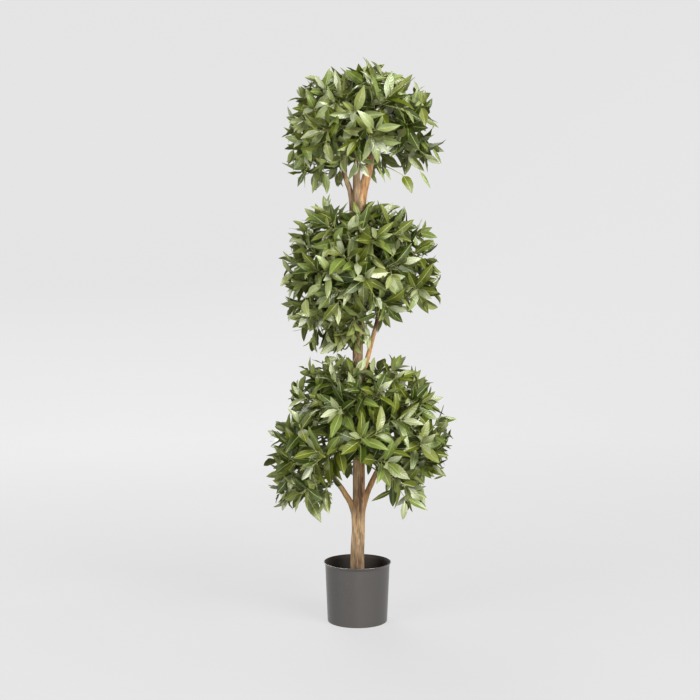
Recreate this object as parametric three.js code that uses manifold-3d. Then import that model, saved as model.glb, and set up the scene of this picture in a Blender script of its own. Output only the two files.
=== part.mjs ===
// Artificial bay topiary: three balls of leafy sprays on one wooden trunk, set in a plain round pot.
// Millimetres, +Z up. The origin is the centre of the pot's underside.
// +X is right and +Y is away from the viewer.
import * as THREE from "three";
import { mergeVertices } from "three/addons/utils/BufferGeometryUtils.js";
import Module from "manifold-3d";

const wasm = await Module();
wasm.setup();

// Pot and filling
const POT_HEIGHT = 159.5;
const POT_RIM_DIAMETER = 181;
const POT_BODY_DIAMETER = 173;
const POT_BASE_DIAMETER = 160.5;
const POT_WALL = 2.4;
const POT_FLOOR = 4;
const POT_FLARE_HEIGHT = 10;
const POT_FLARE_BEND = 0.3;
const POT_RIM_EDGE = 0.8;
const POT_FOOT_EDGE = 1;
const POT_FOOT_ROUND = 0.3;
const POT_SIDES = 32;
const FILL_TOP = 113;

// Clear space where one solid meets the next
const SEAT_GAP = 0.3;

// Trunk, from its flat cut on the filling to the tip inside the top ball
const TRUNK_BASE_RADIUS = 18.8;
const TRUNK_TIP_RADIUS = 8;
const TRUNK_FLARE = 0.1;
const TRUNK_FLARE_SHARE = 0.02;
const TRUNK_SIDES = 12;
const TRUNK_STEPS = 20;
const TRUNK_MARKS = 200;
const TRUNK_PATH = [
  [-1, 0, FILL_TOP + SEAT_GAP],
  [0.6, 0, 190],
  [2.6, 0, 260],
  [3.6, 0, 340],
  [3, 0, 420],
  [0, 0, 560],
  [0, 0, 710],
  [3, -1, 880],
  [4, -3, 1000],
  [-2, -6, 1100],
  [-2, -6, 1200],
  [2, -2, 1300],
  [4, 0, 1392],
];

// Boughs, each one tapering limb that feeds one mass of foliage
const BOUGH_SIDES = 8;
const BOUGH_STEPS = 7;
const BOUGHS = [
  {
    name: "lower_bough_left",
    feeds: "lower_ball_left",
    radii: [8.2, 5],
    path: [[1, 0, 284], [-16, -2, 314], [-41, -5, 356], [-62, -8, 384], [-86, -10, 404]],
  },
  {
    name: "lower_bough_right",
    feeds: "lower_ball_right",
    radii: [8.5, 5.2],
    path: [[4, 0, 294], [22, 1, 335], [48, 3, 393], [74, 4, 440]],
  },
  {
    name: "middle_bough_right",
    feeds: "middle_ball_right",
    radii: [6, 4.4],
    path: [[5, 2, 632], [27, 4, 708], [52, 5, 805], [69, 5, 875], [80, 5, 925]],
  },
  {
    name: "top_bough_left",
    feeds: "top_ball_left",
    radii: [7.4, 4.4],
    path: [[-12, 5, 1080], [-14, 4, 1116], [-20, 4, 1154], [-35, 3, 1198], [-46, 0, 1290], [-49, -2, 1356]],
  },
  {
    name: "top_bough_right",
    feeds: "top_ball_right",
    radii: [13.4, 8],
    path: [[8, -3, 1080], [9, -3, 1116], [15, -3, 1154], [25, -2, 1194], [45, 0, 1285], [62, 0, 1345]],
  },
];
const TRUNK_TIP_FEEDS = "top_ball_crown";

// Balls of foliage. A ball is round in plan, and its outline above and below the centre differs.
// It leans to the right by a share of the height above its centre, and its even sprays are turned about it.
// Sprays below the bare elevation are left out, so that the underside stays open round the trunk.
// That elevation rises by bareRight towards the right, and by bareFront close to the front and the back.
// Strays are single sprays beside the even ones: azimuth, elevation and how far they stand out.
const BALLS = [
  {
    name: "lower_ball",
    seed: 4517,
    turn: 40,
    centre: [3, 0, 474],
    lean: 0.1,
    halfWidth: 246,
    above: { height: 254, boxiness: 2.1 },
    below: { height: 220, boxiness: 2.7 },
    bareBelow: -44,
    bareRight: 2,
    bareFront: 54,
    peak: 0,
    sprays: 52,
    strays: [[212, 62, 16], [205, -32, 8], [262, 42, 0]],
    rings: [
      { elevation: -14, start: 0, names: ["right", "back", "left", "front"] },
      { elevation: 50, start: 30, names: ["upper_right", "upper_left", "upper_front"] },
    ],
  },
  {
    name: "middle_ball",
    seed: 5323,
    turn: 350,
    centre: [10, 0, 932],
    lean: 0,
    halfWidth: 212,
    above: { height: 192, boxiness: 2.5 },
    below: { height: 234, boxiness: 2.5 },
    bareBelow: -56,
    bareRight: 38,
    bareFront: 0,
    peak: 0,
    sprays: 43,
    strays: [[200, 60, 16], [216, -54, 0], [250, -60, -8], [280, -60, -8]],
    rings: [
      { elevation: -12, start: 0, names: ["right", "back", "left", "front"] },
      { elevation: 52, start: 30, names: ["upper_right", "upper_left", "upper_front"] },
    ],
  },
  {
    name: "top_ball",
    seed: 4919,
    turn: 310,
    centre: [5, 0, 1326],
    lean: 0.04,
    halfWidth: 202,
    above: { height: 157, boxiness: 2.25 },
    below: { height: 186, boxiness: 2.7 },
    bareBelow: -42,
    bareRight: 14,
    bareFront: 8,
    peak: 26,
    sprays: 39,
    strays: [[354, -16, 18], [338, -34, 8]],
    rings: [
      { elevation: -8, start: 0, names: ["right", "back", "left", "front"] },
      { elevation: 90, start: 0, names: ["crown"] },
    ],
  },
];

// Heights that keep one ball's foliage apart from the next
const BALL_LIMITS = [262, 720, 1142, 1500];
const CELL_GAP = 1;
const FRONT_SHARPNESS = 8;

// Stems and twigs
const STEM_RADII = [4.2, 3];
const STEM_SIDES = 5;
const STEM_STEPS = 3;
const STEM_BEND = 0.4;
const HUB_SHARE = 0.4;
const FED_HUB_SHARE = 0.62;
const ROOT_LIFT = 46;
const ROOT_STAGGER = 36;
const ROOT_STAGGER_LOW = 0.4;
const TWIG_RADIUS = 2.4;
const TWIG_STARTS = [0.5, 0.98];
const TWIG_TEST_STEPS = 20;
const SPRAY_DEPTH = 55;
const SPRAY_SCATTER = 24;
const UPRIGHT = 0.9;

// Whorls of three leaves on each twig: how far from its tip they sit,
// and how long and how open their leaves are
const WHORLS = [
  { back: 44, turn: 0, length: 98, tilt: 80 },
  { back: 20, turn: 58, length: 92, tilt: 64 },
  { back: 0, turn: 23, length: 68, tilt: 38 },
];
const WHORL_LEAVES = 3;
const WHORL_RADIUS = 4;
const WHORL_HALF_HEIGHT = 2;
const LEAF_SLENDERNESS = 0.35;
const LEAF_WIDEST = 0.46;
const LEAF_CAMBER = 1;
const LEAF_DROOP = 0.12;
const LEAF_SPREAD = 16;
const LEAF_ROLL = 30;
const LEAF_SIZES = [0.9, 1.1];
const LEAF_SPACING = 3;
const LEAF_CLEAR_FROM = 0.16;
const LEAF_TEST_STEP = 0.12;
const LEAF_TEST_SIDES = [-1, -0.5, 0, 0.5, 1];
const LIMB_MARGIN = 2.5;
const OUTLINE_SLACK = 1.03;

// What is tried in turn for a leaf that doesn't fit: a shorter blade, less tilt, a turn aside
const LEAF_TRY_SIZES = [1, 0.76];
const LEAF_TRY_TILTS = [0, 13, 26, 39];
const LEAF_TRY_TURNS = [0, -10, 10];

const GOLDEN_ANGLE = Math.PI * (3 - Math.sqrt(5));
const MESH_TOLERANCE = 0.02;
const SEED_FACTOR = 1664525;
const SEED_STEP = 1013904223;
const SEED_RANGE = 2 ** 32;

const COLOURS = {
  pot: { color: 0x5b5753, roughness: 0.5 },
  fill: { color: 0x3b332b, roughness: 0.95 },
  wood: { color: 0x9a7d58, roughness: 0.8 },
  leaf: { color: 0x4f5c2c, roughness: 0.5 },
};

const group = new THREE.Group();

function vector([x, y, z]) {
  return new THREE.Vector3(x, y, z);
}

function radians(degrees) {
  return THREE.MathUtils.degToRad(degrees);
}

// A closed geometry as a solid that can be joined and cut.
function solidOf(geometry) {
  const bare = geometry.clone();
  bare.deleteAttribute("normal");
  bare.deleteAttribute("uv");
  const merged = mergeVertices(bare);
  const vertProperties = new Float32Array(merged.attributes.position.array);
  const triVerts = new Uint32Array(merged.index.array);
  return new wasm.Manifold(new wasm.Mesh({ numProp: 3, vertProperties, triVerts }));
}

// The biggest body of a solid: sealed hollows and loose scraps are dropped.
function biggest(solid) {
  const bodies = solid.decompose();
  return bodies.reduce((best, body) => (body.volume() > best.volume() ? body : best));
}

function addNode(name, geometry, look) {
  const mesh = new THREE.Mesh(geometry, new THREE.MeshStandardMaterial(look));
  mesh.name = name;
  group.add(mesh);
}

function addSolid(name, solid, look) {
  const { vertProperties, triVerts } = biggest(solid).simplify(MESH_TOLERANCE).getMesh();
  const geometry = new THREE.BufferGeometry();
  geometry.setAttribute("position", new THREE.BufferAttribute(vertProperties, 3));
  geometry.setIndex(new THREE.BufferAttribute(triVerts, 1));
  geometry.computeVertexNormals();
  addNode(name, geometry, look);
}

// A seeded run of numbers from 0 to 1.
function seeded(seed) {
  let state = seed >>> 0;
  return () => {
    state = (Math.imul(state, SEED_FACTOR) + SEED_STEP) >>> 0;
    return state / SEED_RANGE;
  };
}

// A limb is a cylinder bent along a curve, with its own radius at each step.
function limb(curve, radiusAt, sides, steps) {
  const geometry = new THREE.CylinderGeometry(1, 1, 1, sides, steps);
  const frames = curve.computeFrenetFrames(steps, false);
  const position = geometry.attributes.position;
  for (let i = 0; i < position.count; i++) {
    const step = Math.round((position.getY(i) + 0.5) * steps);
    const radius = radiusAt(step / steps);
    const place = curve.getPointAt(step / steps);
    place.addScaledVector(frames.normals[step], radius * position.getX(i));
    place.addScaledVector(frames.binormals[step], -radius * position.getZ(i));
    position.setXYZ(i, place.x, place.y, place.z);
  }
  return geometry;
}

function taper([base, tip], extra = 0) {
  return (share) => THREE.MathUtils.lerp(base, tip, share) + extra;
}

function trunkRadius(extra = 0) {
  const plain = taper([TRUNK_BASE_RADIUS, TRUNK_TIP_RADIUS], extra);
  const flare = TRUNK_BASE_RADIUS * TRUNK_FLARE;
  return (share) => plain(share) + flare * Math.exp(-share / TRUNK_FLARE_SHARE);
}

// The trunk stands on a flat cut: the lowest ring is levelled.
function trunkGeometry(curve, extra = 0) {
  const geometry = limb(curve, trunkRadius(extra), TRUNK_SIDES, TRUNK_STEPS);
  const position = geometry.attributes.position;
  for (let i = 0; i < position.count; i++) {
    if (position.getZ(i) < FILL_TOP + TRUNK_BASE_RADIUS / 2) {
      position.setZ(i, FILL_TOP + SEAT_GAP);
    }
  }
  return geometry;
}

// Pot: one turned wall with a flat underside, a small foot edge and a thin rim that flares out.
const baseRadius = POT_BASE_DIAMETER / 2;
const bodyRadius = POT_BODY_DIAMETER / 2;
const rimRadius = POT_RIM_DIAMETER / 2;
const flareRadius = THREE.MathUtils.lerp(bodyRadius, rimRadius, POT_FLARE_BEND);
const flareFoot = POT_HEIGHT - POT_FLARE_HEIGHT;
const flareMiddle = POT_HEIGHT - POT_FLARE_HEIGHT / 2;
const potOutline = [
  [0, 0],
  [baseRadius - POT_FOOT_EDGE, 0],
  [baseRadius - POT_FOOT_EDGE * POT_FOOT_ROUND, POT_FOOT_EDGE * POT_FOOT_ROUND],
  [baseRadius, POT_FOOT_EDGE],
  [bodyRadius, flareFoot],
  [flareRadius, flareMiddle],
  [rimRadius, POT_HEIGHT - POT_RIM_EDGE],
  [rimRadius - POT_RIM_EDGE, POT_HEIGHT],
  [rimRadius - POT_WALL + POT_RIM_EDGE, POT_HEIGHT],
  [rimRadius - POT_WALL, POT_HEIGHT - POT_RIM_EDGE],
  [flareRadius - POT_WALL, flareMiddle],
  [bodyRadius - POT_WALL, flareFoot],
  [baseRadius - POT_WALL, POT_FLOOR],
  [0, POT_FLOOR],
];
const turned = (outline) => {
  const points = outline.map(([x, y]) => new THREE.Vector2(x, y));
  return new THREE.LatheGeometry(points, POT_SIDES).rotateX(Math.PI / 2);
};
addNode("pot", turned(potOutline), COLOURS.pot);

// Filling: a plug that follows the pot's inside, clear of it all round.
function insideRadius(height) {
  const share = (height - POT_FLOOR) / (flareFoot - POT_FLOOR);
  return THREE.MathUtils.lerp(baseRadius, bodyRadius, share) - POT_WALL - SEAT_GAP;
}
const fillOutline = [
  [0, POT_FLOOR + SEAT_GAP],
  [insideRadius(POT_FLOOR + SEAT_GAP), POT_FLOOR + SEAT_GAP],
  [insideRadius(FILL_TOP), FILL_TOP],
  [0, FILL_TOP],
];
addNode("pot_fill", turned(fillOutline), COLOURS.fill);

// Trunk and boughs. Each bough is cut clear of the trunk that it leaves.
const trunkCurve = new THREE.CatmullRomCurve3(TRUNK_PATH.map(vector));
addNode("trunk", trunkGeometry(trunkCurve), COLOURS.wood);
const trunkRoom = solidOf(trunkGeometry(trunkCurve, SEAT_GAP));

const limbs = [{ curve: trunkCurve, radiusAt: trunkRadius(), steps: 2 * TRUNK_STEPS }];
const hosts = { [TRUNK_TIP_FEEDS]: { curve: trunkCurve, radius: TRUNK_TIP_RADIUS } };
for (const bough of BOUGHS) {
  const curve = new THREE.CatmullRomCurve3(bough.path.map(vector));
  const solid = solidOf(limb(curve, taper(bough.radii), BOUGH_SIDES, BOUGH_STEPS));
  addSolid(bough.name, solid.subtract(trunkRoom), COLOURS.wood);
  limbs.push({ curve, radiusAt: taper(bough.radii), steps: 2 * BOUGH_STEPS });
  hosts[bough.feeds] = { curve, radius: bough.radii[1] };
}

// Short lines along every limb, for keeping foliage clear of them.
const limbLines = limbs.flatMap(({ curve, radiusAt, steps }) =>
  Array.from({ length: steps }, (_, i) => ({
    line: new THREE.Line3(curve.getPointAt(i / steps), curve.getPointAt((i + 1) / steps)),
    radius: radiusAt(i / steps),
  })),
);

function clearOfLimbs(points) {
  const nearest = new THREE.Vector3();
  return limbLines.every(({ line, radius }) =>
    points.every((point) => {
      line.closestPointToPoint(point, true, nearest);
      return nearest.distanceTo(point) > radius + LIMB_MARGIN;
    }),
  );
}

function direction(azimuth, elevation) {
  return new THREE.Vector3(
    Math.cos(elevation) * Math.cos(azimuth),
    Math.cos(elevation) * Math.sin(azimuth),
    Math.sin(elevation),
  );
}

// How far a ball's outline is from its centre, in a direction.
function reach(ball, way) {
  const { height, boxiness } = way.z > 0 ? ball.above : ball.below;
  const flat = Math.hypot(way.x, way.y) / ball.halfWidth;
  const upright = Math.abs(way.z) / height;
  return (flat ** boxiness + upright ** boxiness) ** (-1 / boxiness);
}

// A point of the ball in a direction, moved aside by its lean, and the way back.
function inBall(ball, way, distance) {
  const point = way.clone().multiplyScalar(distance);
  point.x += ball.lean * point.z;
  return point.add(vector(ball.centre));
}

function fromBall(ball, point) {
  const offset = point.clone().sub(vector(ball.centre));
  offset.x -= ball.lean * offset.z;
  return offset;
}

function insideOutline(ball, point, room) {
  const offset = fromBall(ball, point);
  return offset.length() < OUTLINE_SLACK * reach(ball, offset.clone().normalize()) + room;
}

// The space of each mass: the part of the ball that lies nearer to its own direction than to any other.
function massesOf(ball, index) {
  const masses = ball.rings.flatMap(({ elevation, start, names }) =>
    names.map((name, i) => ({
      name: `${ball.name}_${name}`,
      way: direction(radians(start + (360 * i) / names.length), radians(elevation)),
      stagger: ROOT_STAGGER * (((2 * i) % names.length) / names.length - ROOT_STAGGER_LOW),
      tips: [],
    })),
  );
  for (const mass of masses) {
    const others = masses.filter((other) => other !== mass);
    mass.walls = others.map((other) => mass.way.clone().sub(other.way).normalize());
    mass.floor = BALL_LIMITS[index] + CELL_GAP / 2;
    mass.ceiling = BALL_LIMITS[index + 1] - CELL_GAP / 2;
  }
  return masses;
}

function insideCell(ball, mass, point) {
  const offset = fromBall(ball, point);
  const between = point.z > mass.floor && point.z < mass.ceiling;
  return between && mass.walls.every((wall) => offset.dot(wall) > CELL_GAP / 2);
}

// Spray tips are spread evenly over the ball, the first of them at its peak, and the strays are added.
// Each is given to the mass that it lies in.
function shareTips(ball, masses) {
  const give = (way, extra) => {
    const nearer = (best, mass) => (mass.way.dot(way) > best.way.dot(way) ? mass : best);
    masses.reduce(nearer).tips.push({ way, extra });
  };
  for (let i = 0; i < ball.sprays; i++) {
    const azimuth = radians(ball.turn) + i * GOLDEN_ANGLE;
    const elevation = Math.asin(1 - (2 * i + 1) / ball.sprays);
    const frontness = Math.sin(azimuth) ** FRONT_SHARPNESS;
    const bareMore = ball.bareRight * Math.cos(azimuth) + ball.bareFront * frontness;
    if (elevation > radians(ball.bareBelow + bareMore)) {
      give(direction(azimuth, elevation), i === 0 ? ball.peak : 0);
    }
  }
  for (const [azimuth, elevation, extra] of ball.strays) {
    give(direction(radians(azimuth), radians(elevation)), extra);
  }
}

// A leaf's place: its root, the way it points, the way it faces and points spread over its blade.
function placeLeaf(root, along, facing, length) {
  const across = new THREE.Vector3().crossVectors(along, facing);
  const leaf = { root, along, facing, across, length, points: [] };
  for (let share = LEAF_CLEAR_FROM; share <= 1; share += LEAF_TEST_STEP) {
    for (const side of LEAF_TEST_SIDES) {
      const point = root.clone().addScaledVector(along, share * length);
      leaf.points.push(point.addScaledVector(across, side * halfWidthAt(leaf, share)));
    }
  }
  return leaf;
}

function halfWidthAt(leaf, share) {
  const fullness = Math.min(share / LEAF_WIDEST, (1 - share) / (1 - LEAF_WIDEST));
  return (leaf.length / 2) * LEAF_SLENDERNESS * fullness;
}

// Whether any of the points lies against the leaf's blade.
function meetsLeaf(leaf, points) {
  return points.some((point) => {
    const offset = point.clone().sub(leaf.root);
    const share = offset.dot(leaf.along) / leaf.length;
    const sideways = Math.abs(offset.dot(leaf.across));
    const upward = Math.abs(offset.dot(leaf.facing));
    const alongBlade = share > LEAF_CLEAR_FROM && share < 1;
    return alongBlade && upward < LEAF_SPACING && sideways < halfWidthAt(leaf, share) + LEAF_SPACING;
  });
}

// The frame of a twig: the way it grows and two ways square to it.
function twigFrame(root, end) {
  const way = end.clone().sub(root).normalize();
  const reference = Math.abs(way.z) > UPRIGHT ? vector([1, 0, 0]) : vector([0, 0, 1]);
  const first = reference.cross(way).normalize();
  const second = way.clone().cross(first);
  const outward = (turn) => {
    const aside = first.clone().multiplyScalar(Math.cos(turn));
    return aside.addScaledVector(second, Math.sin(turn));
  };
  return { way, outward };
}

// A leaf tilted away from its twig and turned about it. It droops a little and is rolled about its midrib.
function leafAt(centre, frame, turn, tilt, roll, length) {
  const along = frame.way.clone().multiplyScalar(Math.cos(tilt));
  along.addScaledVector(frame.outward(turn), Math.sin(tilt));
  along.z -= LEAF_DROOP;
  along.normalize();
  const facing = frame.way.clone().addScaledVector(along, -frame.way.dot(along)).normalize();
  facing.applyAxisAngle(along, roll);
  return placeLeaf(centre, along, facing, length);
}

const leafTries = LEAF_TRY_SIZES.flatMap((size) =>
  LEAF_TRY_TILTS.flatMap((tilt) =>
    LEAF_TRY_TURNS.map((turn) => ({ size, tilt: radians(tilt), turn: radians(turn) })),
  ),
);

// The whorls of one spray. A leaf that would leave its space or meet a limb, a twig or another leaf
// is moved a few times, then skipped.
function growSpray(ball, mass, twig, twigPoints, random, leaves) {
  twig.whorls = WHORLS.map(({ back, turn, length, tilt }) => {
    const centre = twig.end.clone().addScaledVector(twig.frame.way, -back - WHORL_HALF_HEIGHT);
    const whorl = { centre, turn: radians(turn) + twig.turn, leaves: [] };
    for (let k = 0; k < WHORL_LEAVES; k++) {
      const middle = whorl.turn + ((k + 0.5) * 2 * Math.PI) / WHORL_LEAVES;
      const jitter = radians((random() - 0.5) * LEAF_SPREAD);
      const open = radians(tilt + (random() - 0.5) * LEAF_SPREAD);
      const size = length * THREE.MathUtils.lerp(...LEAF_SIZES, random());
      const roll = radians((random() - 0.5) * LEAF_ROLL);
      for (const tried of leafTries) {
        const turned = middle + jitter + tried.turn;
        const leaf = leafAt(centre, twig.frame, turned, open - tried.tilt, roll, size * tried.size);
        const fits = (point) => insideOutline(ball, point, twig.room) && insideCell(ball, mass, point);
        const touches = (other) => meetsLeaf(other, leaf.points) || meetsLeaf(leaf, other.points);
        const free = !leaves.some(touches) && !meetsLeaf(leaf, twigPoints) && clearOfLimbs(leaf.points);
        if (free && leaf.points.every(fits)) {
          leaves.push(leaf);
          whorl.leaves[k] = leaf;
          break;
        }
      }
    }
    return whorl;
  });
}

// One spray as a closed body: a three-sided twig that passes through its whorls.
// In each whorl a leaf is a pointed blade with a midrib strip, between two notches beside the twig.
function spraySolid(twig) {
  const position = [];
  const index = [];
  const add = (point) => position.push(point.x, point.y, point.z) / 3 - 1;
  const ring = (centre, radius, turn) =>
    [0, 1, 2].map((k) => {
      const outward = twig.frame.outward(turn + (2 * Math.PI * k) / WHORL_LEAVES);
      return add(centre.clone().addScaledVector(outward, radius));
    });
  const wall = (low, high) => {
    for (let k = 0; k < 3; k++) {
      const next = (k + 1) % 3;
      index.push(low[k], low[next], high[next], low[k], high[next], high[k]);
    }
  };
  const face = (a, b, c, up) => index.push(...(up ? [a, b, c] : [a, c, b]));
  let last = ring(twig.root, TWIG_RADIUS, twig.whorls[0].turn);
  face(last[0], last[1], last[2], false);
  for (const whorl of twig.whorls) {
    const rise = twig.frame.way.clone().multiplyScalar(WHORL_HALF_HEIGHT);
    const low = ring(whorl.centre.clone().sub(rise), TWIG_RADIUS, whorl.turn);
    const high = ring(whorl.centre.clone().add(rise), TWIG_RADIUS, whorl.turn);
    const notches = ring(whorl.centre, WHORL_RADIUS, whorl.turn);
    wall(last, low);
    for (let k = 0; k < 3; k++) {
      const next = (k + 1) % 3;
      const edge = [notches[k], notches[next]];
      const leaf = whorl.leaves[k];
      if (leaf) {
        const widest = leaf.root.clone().addScaledVector(leaf.along, LEAF_WIDEST * leaf.length);
        widest.addScaledVector(leaf.facing, -LEAF_CAMBER);
        const half = halfWidthAt(leaf, LEAF_WIDEST);
        const near = add(widest.clone().addScaledVector(leaf.across, half));
        const tip = add(leaf.root.clone().addScaledVector(leaf.along, leaf.length));
        const far = add(widest.clone().addScaledVector(leaf.across, -half));
        edge.splice(1, 0, near, tip, far);
      }
      const turnover = Math.floor(edge.length / 2);
      for (const [band, up] of [[low, false], [high, true]]) {
        for (let i = 0; i + 1 < edge.length; i++) {
          face(band[i < turnover ? k : next], edge[i], edge[i + 1], up);
        }
        face(band[k], edge[turnover], band[next], up);
      }
    }
    last = high;
  }
  face(last[0], last[1], last[2], true);
  const geometry = new THREE.BufferGeometry();
  geometry.setAttribute("position", new THREE.Float32BufferAttribute(position, 3));
  geometry.setIndex(index);
  return solidOf(geometry);
}

// The stem of a mass: from the tip of the limb that feeds it, or from the side of the trunk, to its hub.
function stemOf(ball, mass) {
  const host = hosts[mass.name];
  const share = host ? FED_HUB_SHARE : HUB_SHARE;
  const hub = inBall(ball, mass.way, share * reach(ball, mass.way));
  if (host) {
    const leaving = host.curve.getTangentAt(1);
    const root = host.curve.getPointAt(1).addScaledVector(leaving, SEAT_GAP);
    const bend = root.clone().addScaledVector(leaving, STEM_BEND * root.distanceTo(hub));
    const curve = new THREE.QuadraticBezierCurve3(root, bend, hub);
    return { curve, radii: [host.radius, STEM_RADII[1]], cut: false };
  }
  const height = ball.centre[2] + ROOT_LIFT * mass.way.z + mass.stagger;
  const awayFrom = (point) => Math.abs(point.z - height);
  const marks = trunkCurve.getSpacedPoints(TRUNK_MARKS);
  const root = marks.reduce((best, point) => (awayFrom(point) < awayFrom(best) ? point : best));
  return { curve: new THREE.LineCurve3(root, hub), radii: STEM_RADII, cut: true };
}

// The twig from a mass's stem to one spray tip.
function twigTo(ball, mass, stem, { way, extra }, order, random) {
  const scatter = (random() - 0.5) * SPRAY_SCATTER;
  const turn = random() * 2 * Math.PI;
  const start = THREE.MathUtils.lerp(...TWIG_STARTS, (order + 1) / mass.tips.length);
  const root = stem.curve.getPointAt(start);
  const end = inBall(ball, way, reach(ball, way) + extra - SPRAY_DEPTH + scatter);
  const curve = new THREE.LineCurve3(root, end);
  const room = extra + Math.max(scatter, 0);
  return { root, end, room, turn, curve, frame: twigFrame(root, end) };
}

// One mass: a stem and a spray at each tip, fused in one body.
function growMass(ball, mass, seed) {
  const random = seeded(seed);
  const stem = stemOf(ball, mass);
  const leaves = [];
  const twigs = mass.tips
    .map((tip, i) => twigTo(ball, mass, stem, tip, i, random))
    .filter(({ curve }) => {
      const points = curve.getSpacedPoints(TWIG_TEST_STEPS).slice(TWIG_TEST_STEPS / 4);
      return clearOfLimbs(points) && points.every((point) => insideCell(ball, mass, point));
    });
  const twigPoints = [stem, ...twigs].flatMap(({ curve }) => curve.getSpacedPoints(TWIG_TEST_STEPS));
  let solid = solidOf(limb(stem.curve, taper(stem.radii), STEM_SIDES, STEM_STEPS));
  for (const twig of twigs) {
    growSpray(ball, mass, twig, twigPoints, random, leaves);
    solid = solid.add(spraySolid(twig));
  }
  addSolid(mass.name, stem.cut ? solid.subtract(trunkRoom) : solid, COLOURS.leaf);
}

BALLS.forEach((ball, index) => {
  const masses = massesOf(ball, index);
  shareTips(ball, masses);
  masses.forEach((mass, i) => growMass(ball, mass, ball.seed + i));
});

export default group;
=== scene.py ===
from math import asin, atan2, cos, exp, hypot, pi, radians, sin, sqrt

import bpy
import numpy as np
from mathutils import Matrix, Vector, noise


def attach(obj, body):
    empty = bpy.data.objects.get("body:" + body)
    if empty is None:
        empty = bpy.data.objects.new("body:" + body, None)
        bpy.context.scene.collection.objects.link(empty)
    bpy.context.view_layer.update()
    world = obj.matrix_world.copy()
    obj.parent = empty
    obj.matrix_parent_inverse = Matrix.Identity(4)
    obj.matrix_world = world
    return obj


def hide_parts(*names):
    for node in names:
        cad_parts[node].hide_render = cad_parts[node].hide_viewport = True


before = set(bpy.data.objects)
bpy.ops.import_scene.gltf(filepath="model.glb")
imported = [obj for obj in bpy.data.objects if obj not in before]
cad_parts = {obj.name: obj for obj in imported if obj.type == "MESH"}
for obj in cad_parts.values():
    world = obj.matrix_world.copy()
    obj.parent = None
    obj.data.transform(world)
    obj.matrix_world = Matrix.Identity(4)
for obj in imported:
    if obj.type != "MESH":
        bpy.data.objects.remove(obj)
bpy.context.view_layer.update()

scene = bpy.context.scene
scene.view_settings.view_transform = "Standard"
scene.view_settings.look = "Medium High Contrast"

# The plant is grown in millimetres, as in the part's source, and shown in metres.
MM = 0.001

# Pot and filling
POT_HEIGHT = 159.5
POT_RIM_DIAMETER = 181
POT_BODY_DIAMETER = 173
POT_BASE_DIAMETER = 160.5
POT_WALL = 2.4
POT_FLOOR = 4
POT_FLARE_HEIGHT = 10
POT_FLARE_POWER = 1.74
POT_FLARE_SHARES = (0.1, 0.95)
POT_FLARE_RINGS = 10
POT_FOOT_EDGE = 1
POT_FOOT_WIDTH = 7
POT_RECESS = 1.2
POT_RECESS_SLOPE = 2
POT_FIRST_RING = 4
POT_OUTSIDE_RINGS = 24
POT_INSIDE_RINGS = 21
POT_SIDES = 144
POT_SHARP_ANGLE = 50
FILL_TOP = 113
FILL_CLEAR = 0.4
FILL_FIRST_RING = 8
FILL_SIDE_RINGS = 12
FILL_RINGS = 26
FILL_SIDES = 72
FILL_EDGE = 1
# Lumps on top of the filling: share, fineness and which slice of the noise they are
FILL_LUMPS = [(1, 0.09, 3.0), (0.6, 0.3, 8.0)]
FILL_SINK = 0.6
FILL_RELIEF = 1.6
# Turned bodies end in a tiny ring round their axis.
AXIS = 0.01

# Trunk and boughs
SEAT_GAP = 0.3
TRUNK_RADII = (18.8, 8)
TRUNK_FLARE = 0.1
TRUNK_FLARE_SHARE = 0.02
TRUNK_PATH = [
    (-1, 0, FILL_TOP + SEAT_GAP),
    (0.6, 0, 190),
    (2.6, 0, 260),
    (3.6, 0, 340),
    (3, 0, 420),
    (0, 0, 560),
    (0, 0, 710),
    (3, -1, 880),
    (4, -3, 1000),
    (-2, -6, 1100),
    (-2, -6, 1200),
    (2, -2, 1300),
    (4, 0, 1392),
]
BOUGHS = {
    "lower_bough_left": {
        "radii": (8.2, 5),
        "path": [(1, 0, 284), (-16, -2, 314), (-41, -5, 356), (-62, -8, 384), (-86, -10, 404)],
    },
    "lower_bough_right": {
        "radii": (8.5, 5.2),
        "path": [(4, 0, 294), (22, 1, 335), (48, 3, 393), (74, 4, 440)],
    },
    "middle_bough_right": {
        "radii": (6, 4.4),
        "path": [(5, 2, 632), (27, 4, 708), (52, 5, 805), (69, 5, 875), (80, 5, 925)],
    },
    "top_bough_left": {
        "radii": (7.4, 4.4),
        "path": [
            (-12, 5, 1080), (-14, 4, 1116), (-20, 4, 1154), (-35, 3, 1198), (-46, 0, 1290), (-49, -2, 1356),
        ],
    },
    "top_bough_right": {
        "radii": (13.4, 8),
        "path": [
            (8, -3, 1080), (9, -3, 1116), (15, -3, 1154), (25, -2, 1194), (45, 0, 1285), (62, 0, 1345),
        ],
    },
}
TRUNK_MARKS = 44
BOUGH_MARKS = 14

# The trunk is a bundle of stems: the way each lies from the axis, and its offset and radius
# as shares of the trunk's radius. The bundle turns a little on its way up.
STRANDS = [(192, 0.40, 0.58), (268, 0.48, 0.46), (340, 0.40, 0.58), (65, 0.42, 0.54), (130, 0.44, 0.50)]
STRAND_TURN = 70
STRAND_SIDES = 20
STRAND_STEPS = 90
STRAND_DRIFT = 14
STRAND_BEATS = (1.5, 3.5)
STRAND_SWELL = 0.05
STRAND_SWELLS = 3
STRAND_SEED = 4158
CORE_SHARE = 0.8
# Boughs that run down the trunk as stems of the bundle
BOUGH_ROOTS = {
    "lower_bough_left": [(-6, -6, 180), (-7, -5, 250), (-9, -3, 292), (-16, -2, 314)],
    "lower_bough_right": [(8, -5, 170), (11, -4, 240), (14, -3, 300), (22, 1, 335)],
}
BOUGH_ROOT_TAPER = 0.8
BOUGH_STEPS = 30
# A bough's collar: how much thicker it is at its foot, and the share of its length that this fades over
BOUGH_COLLAR = (0.14, 0.12)

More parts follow.
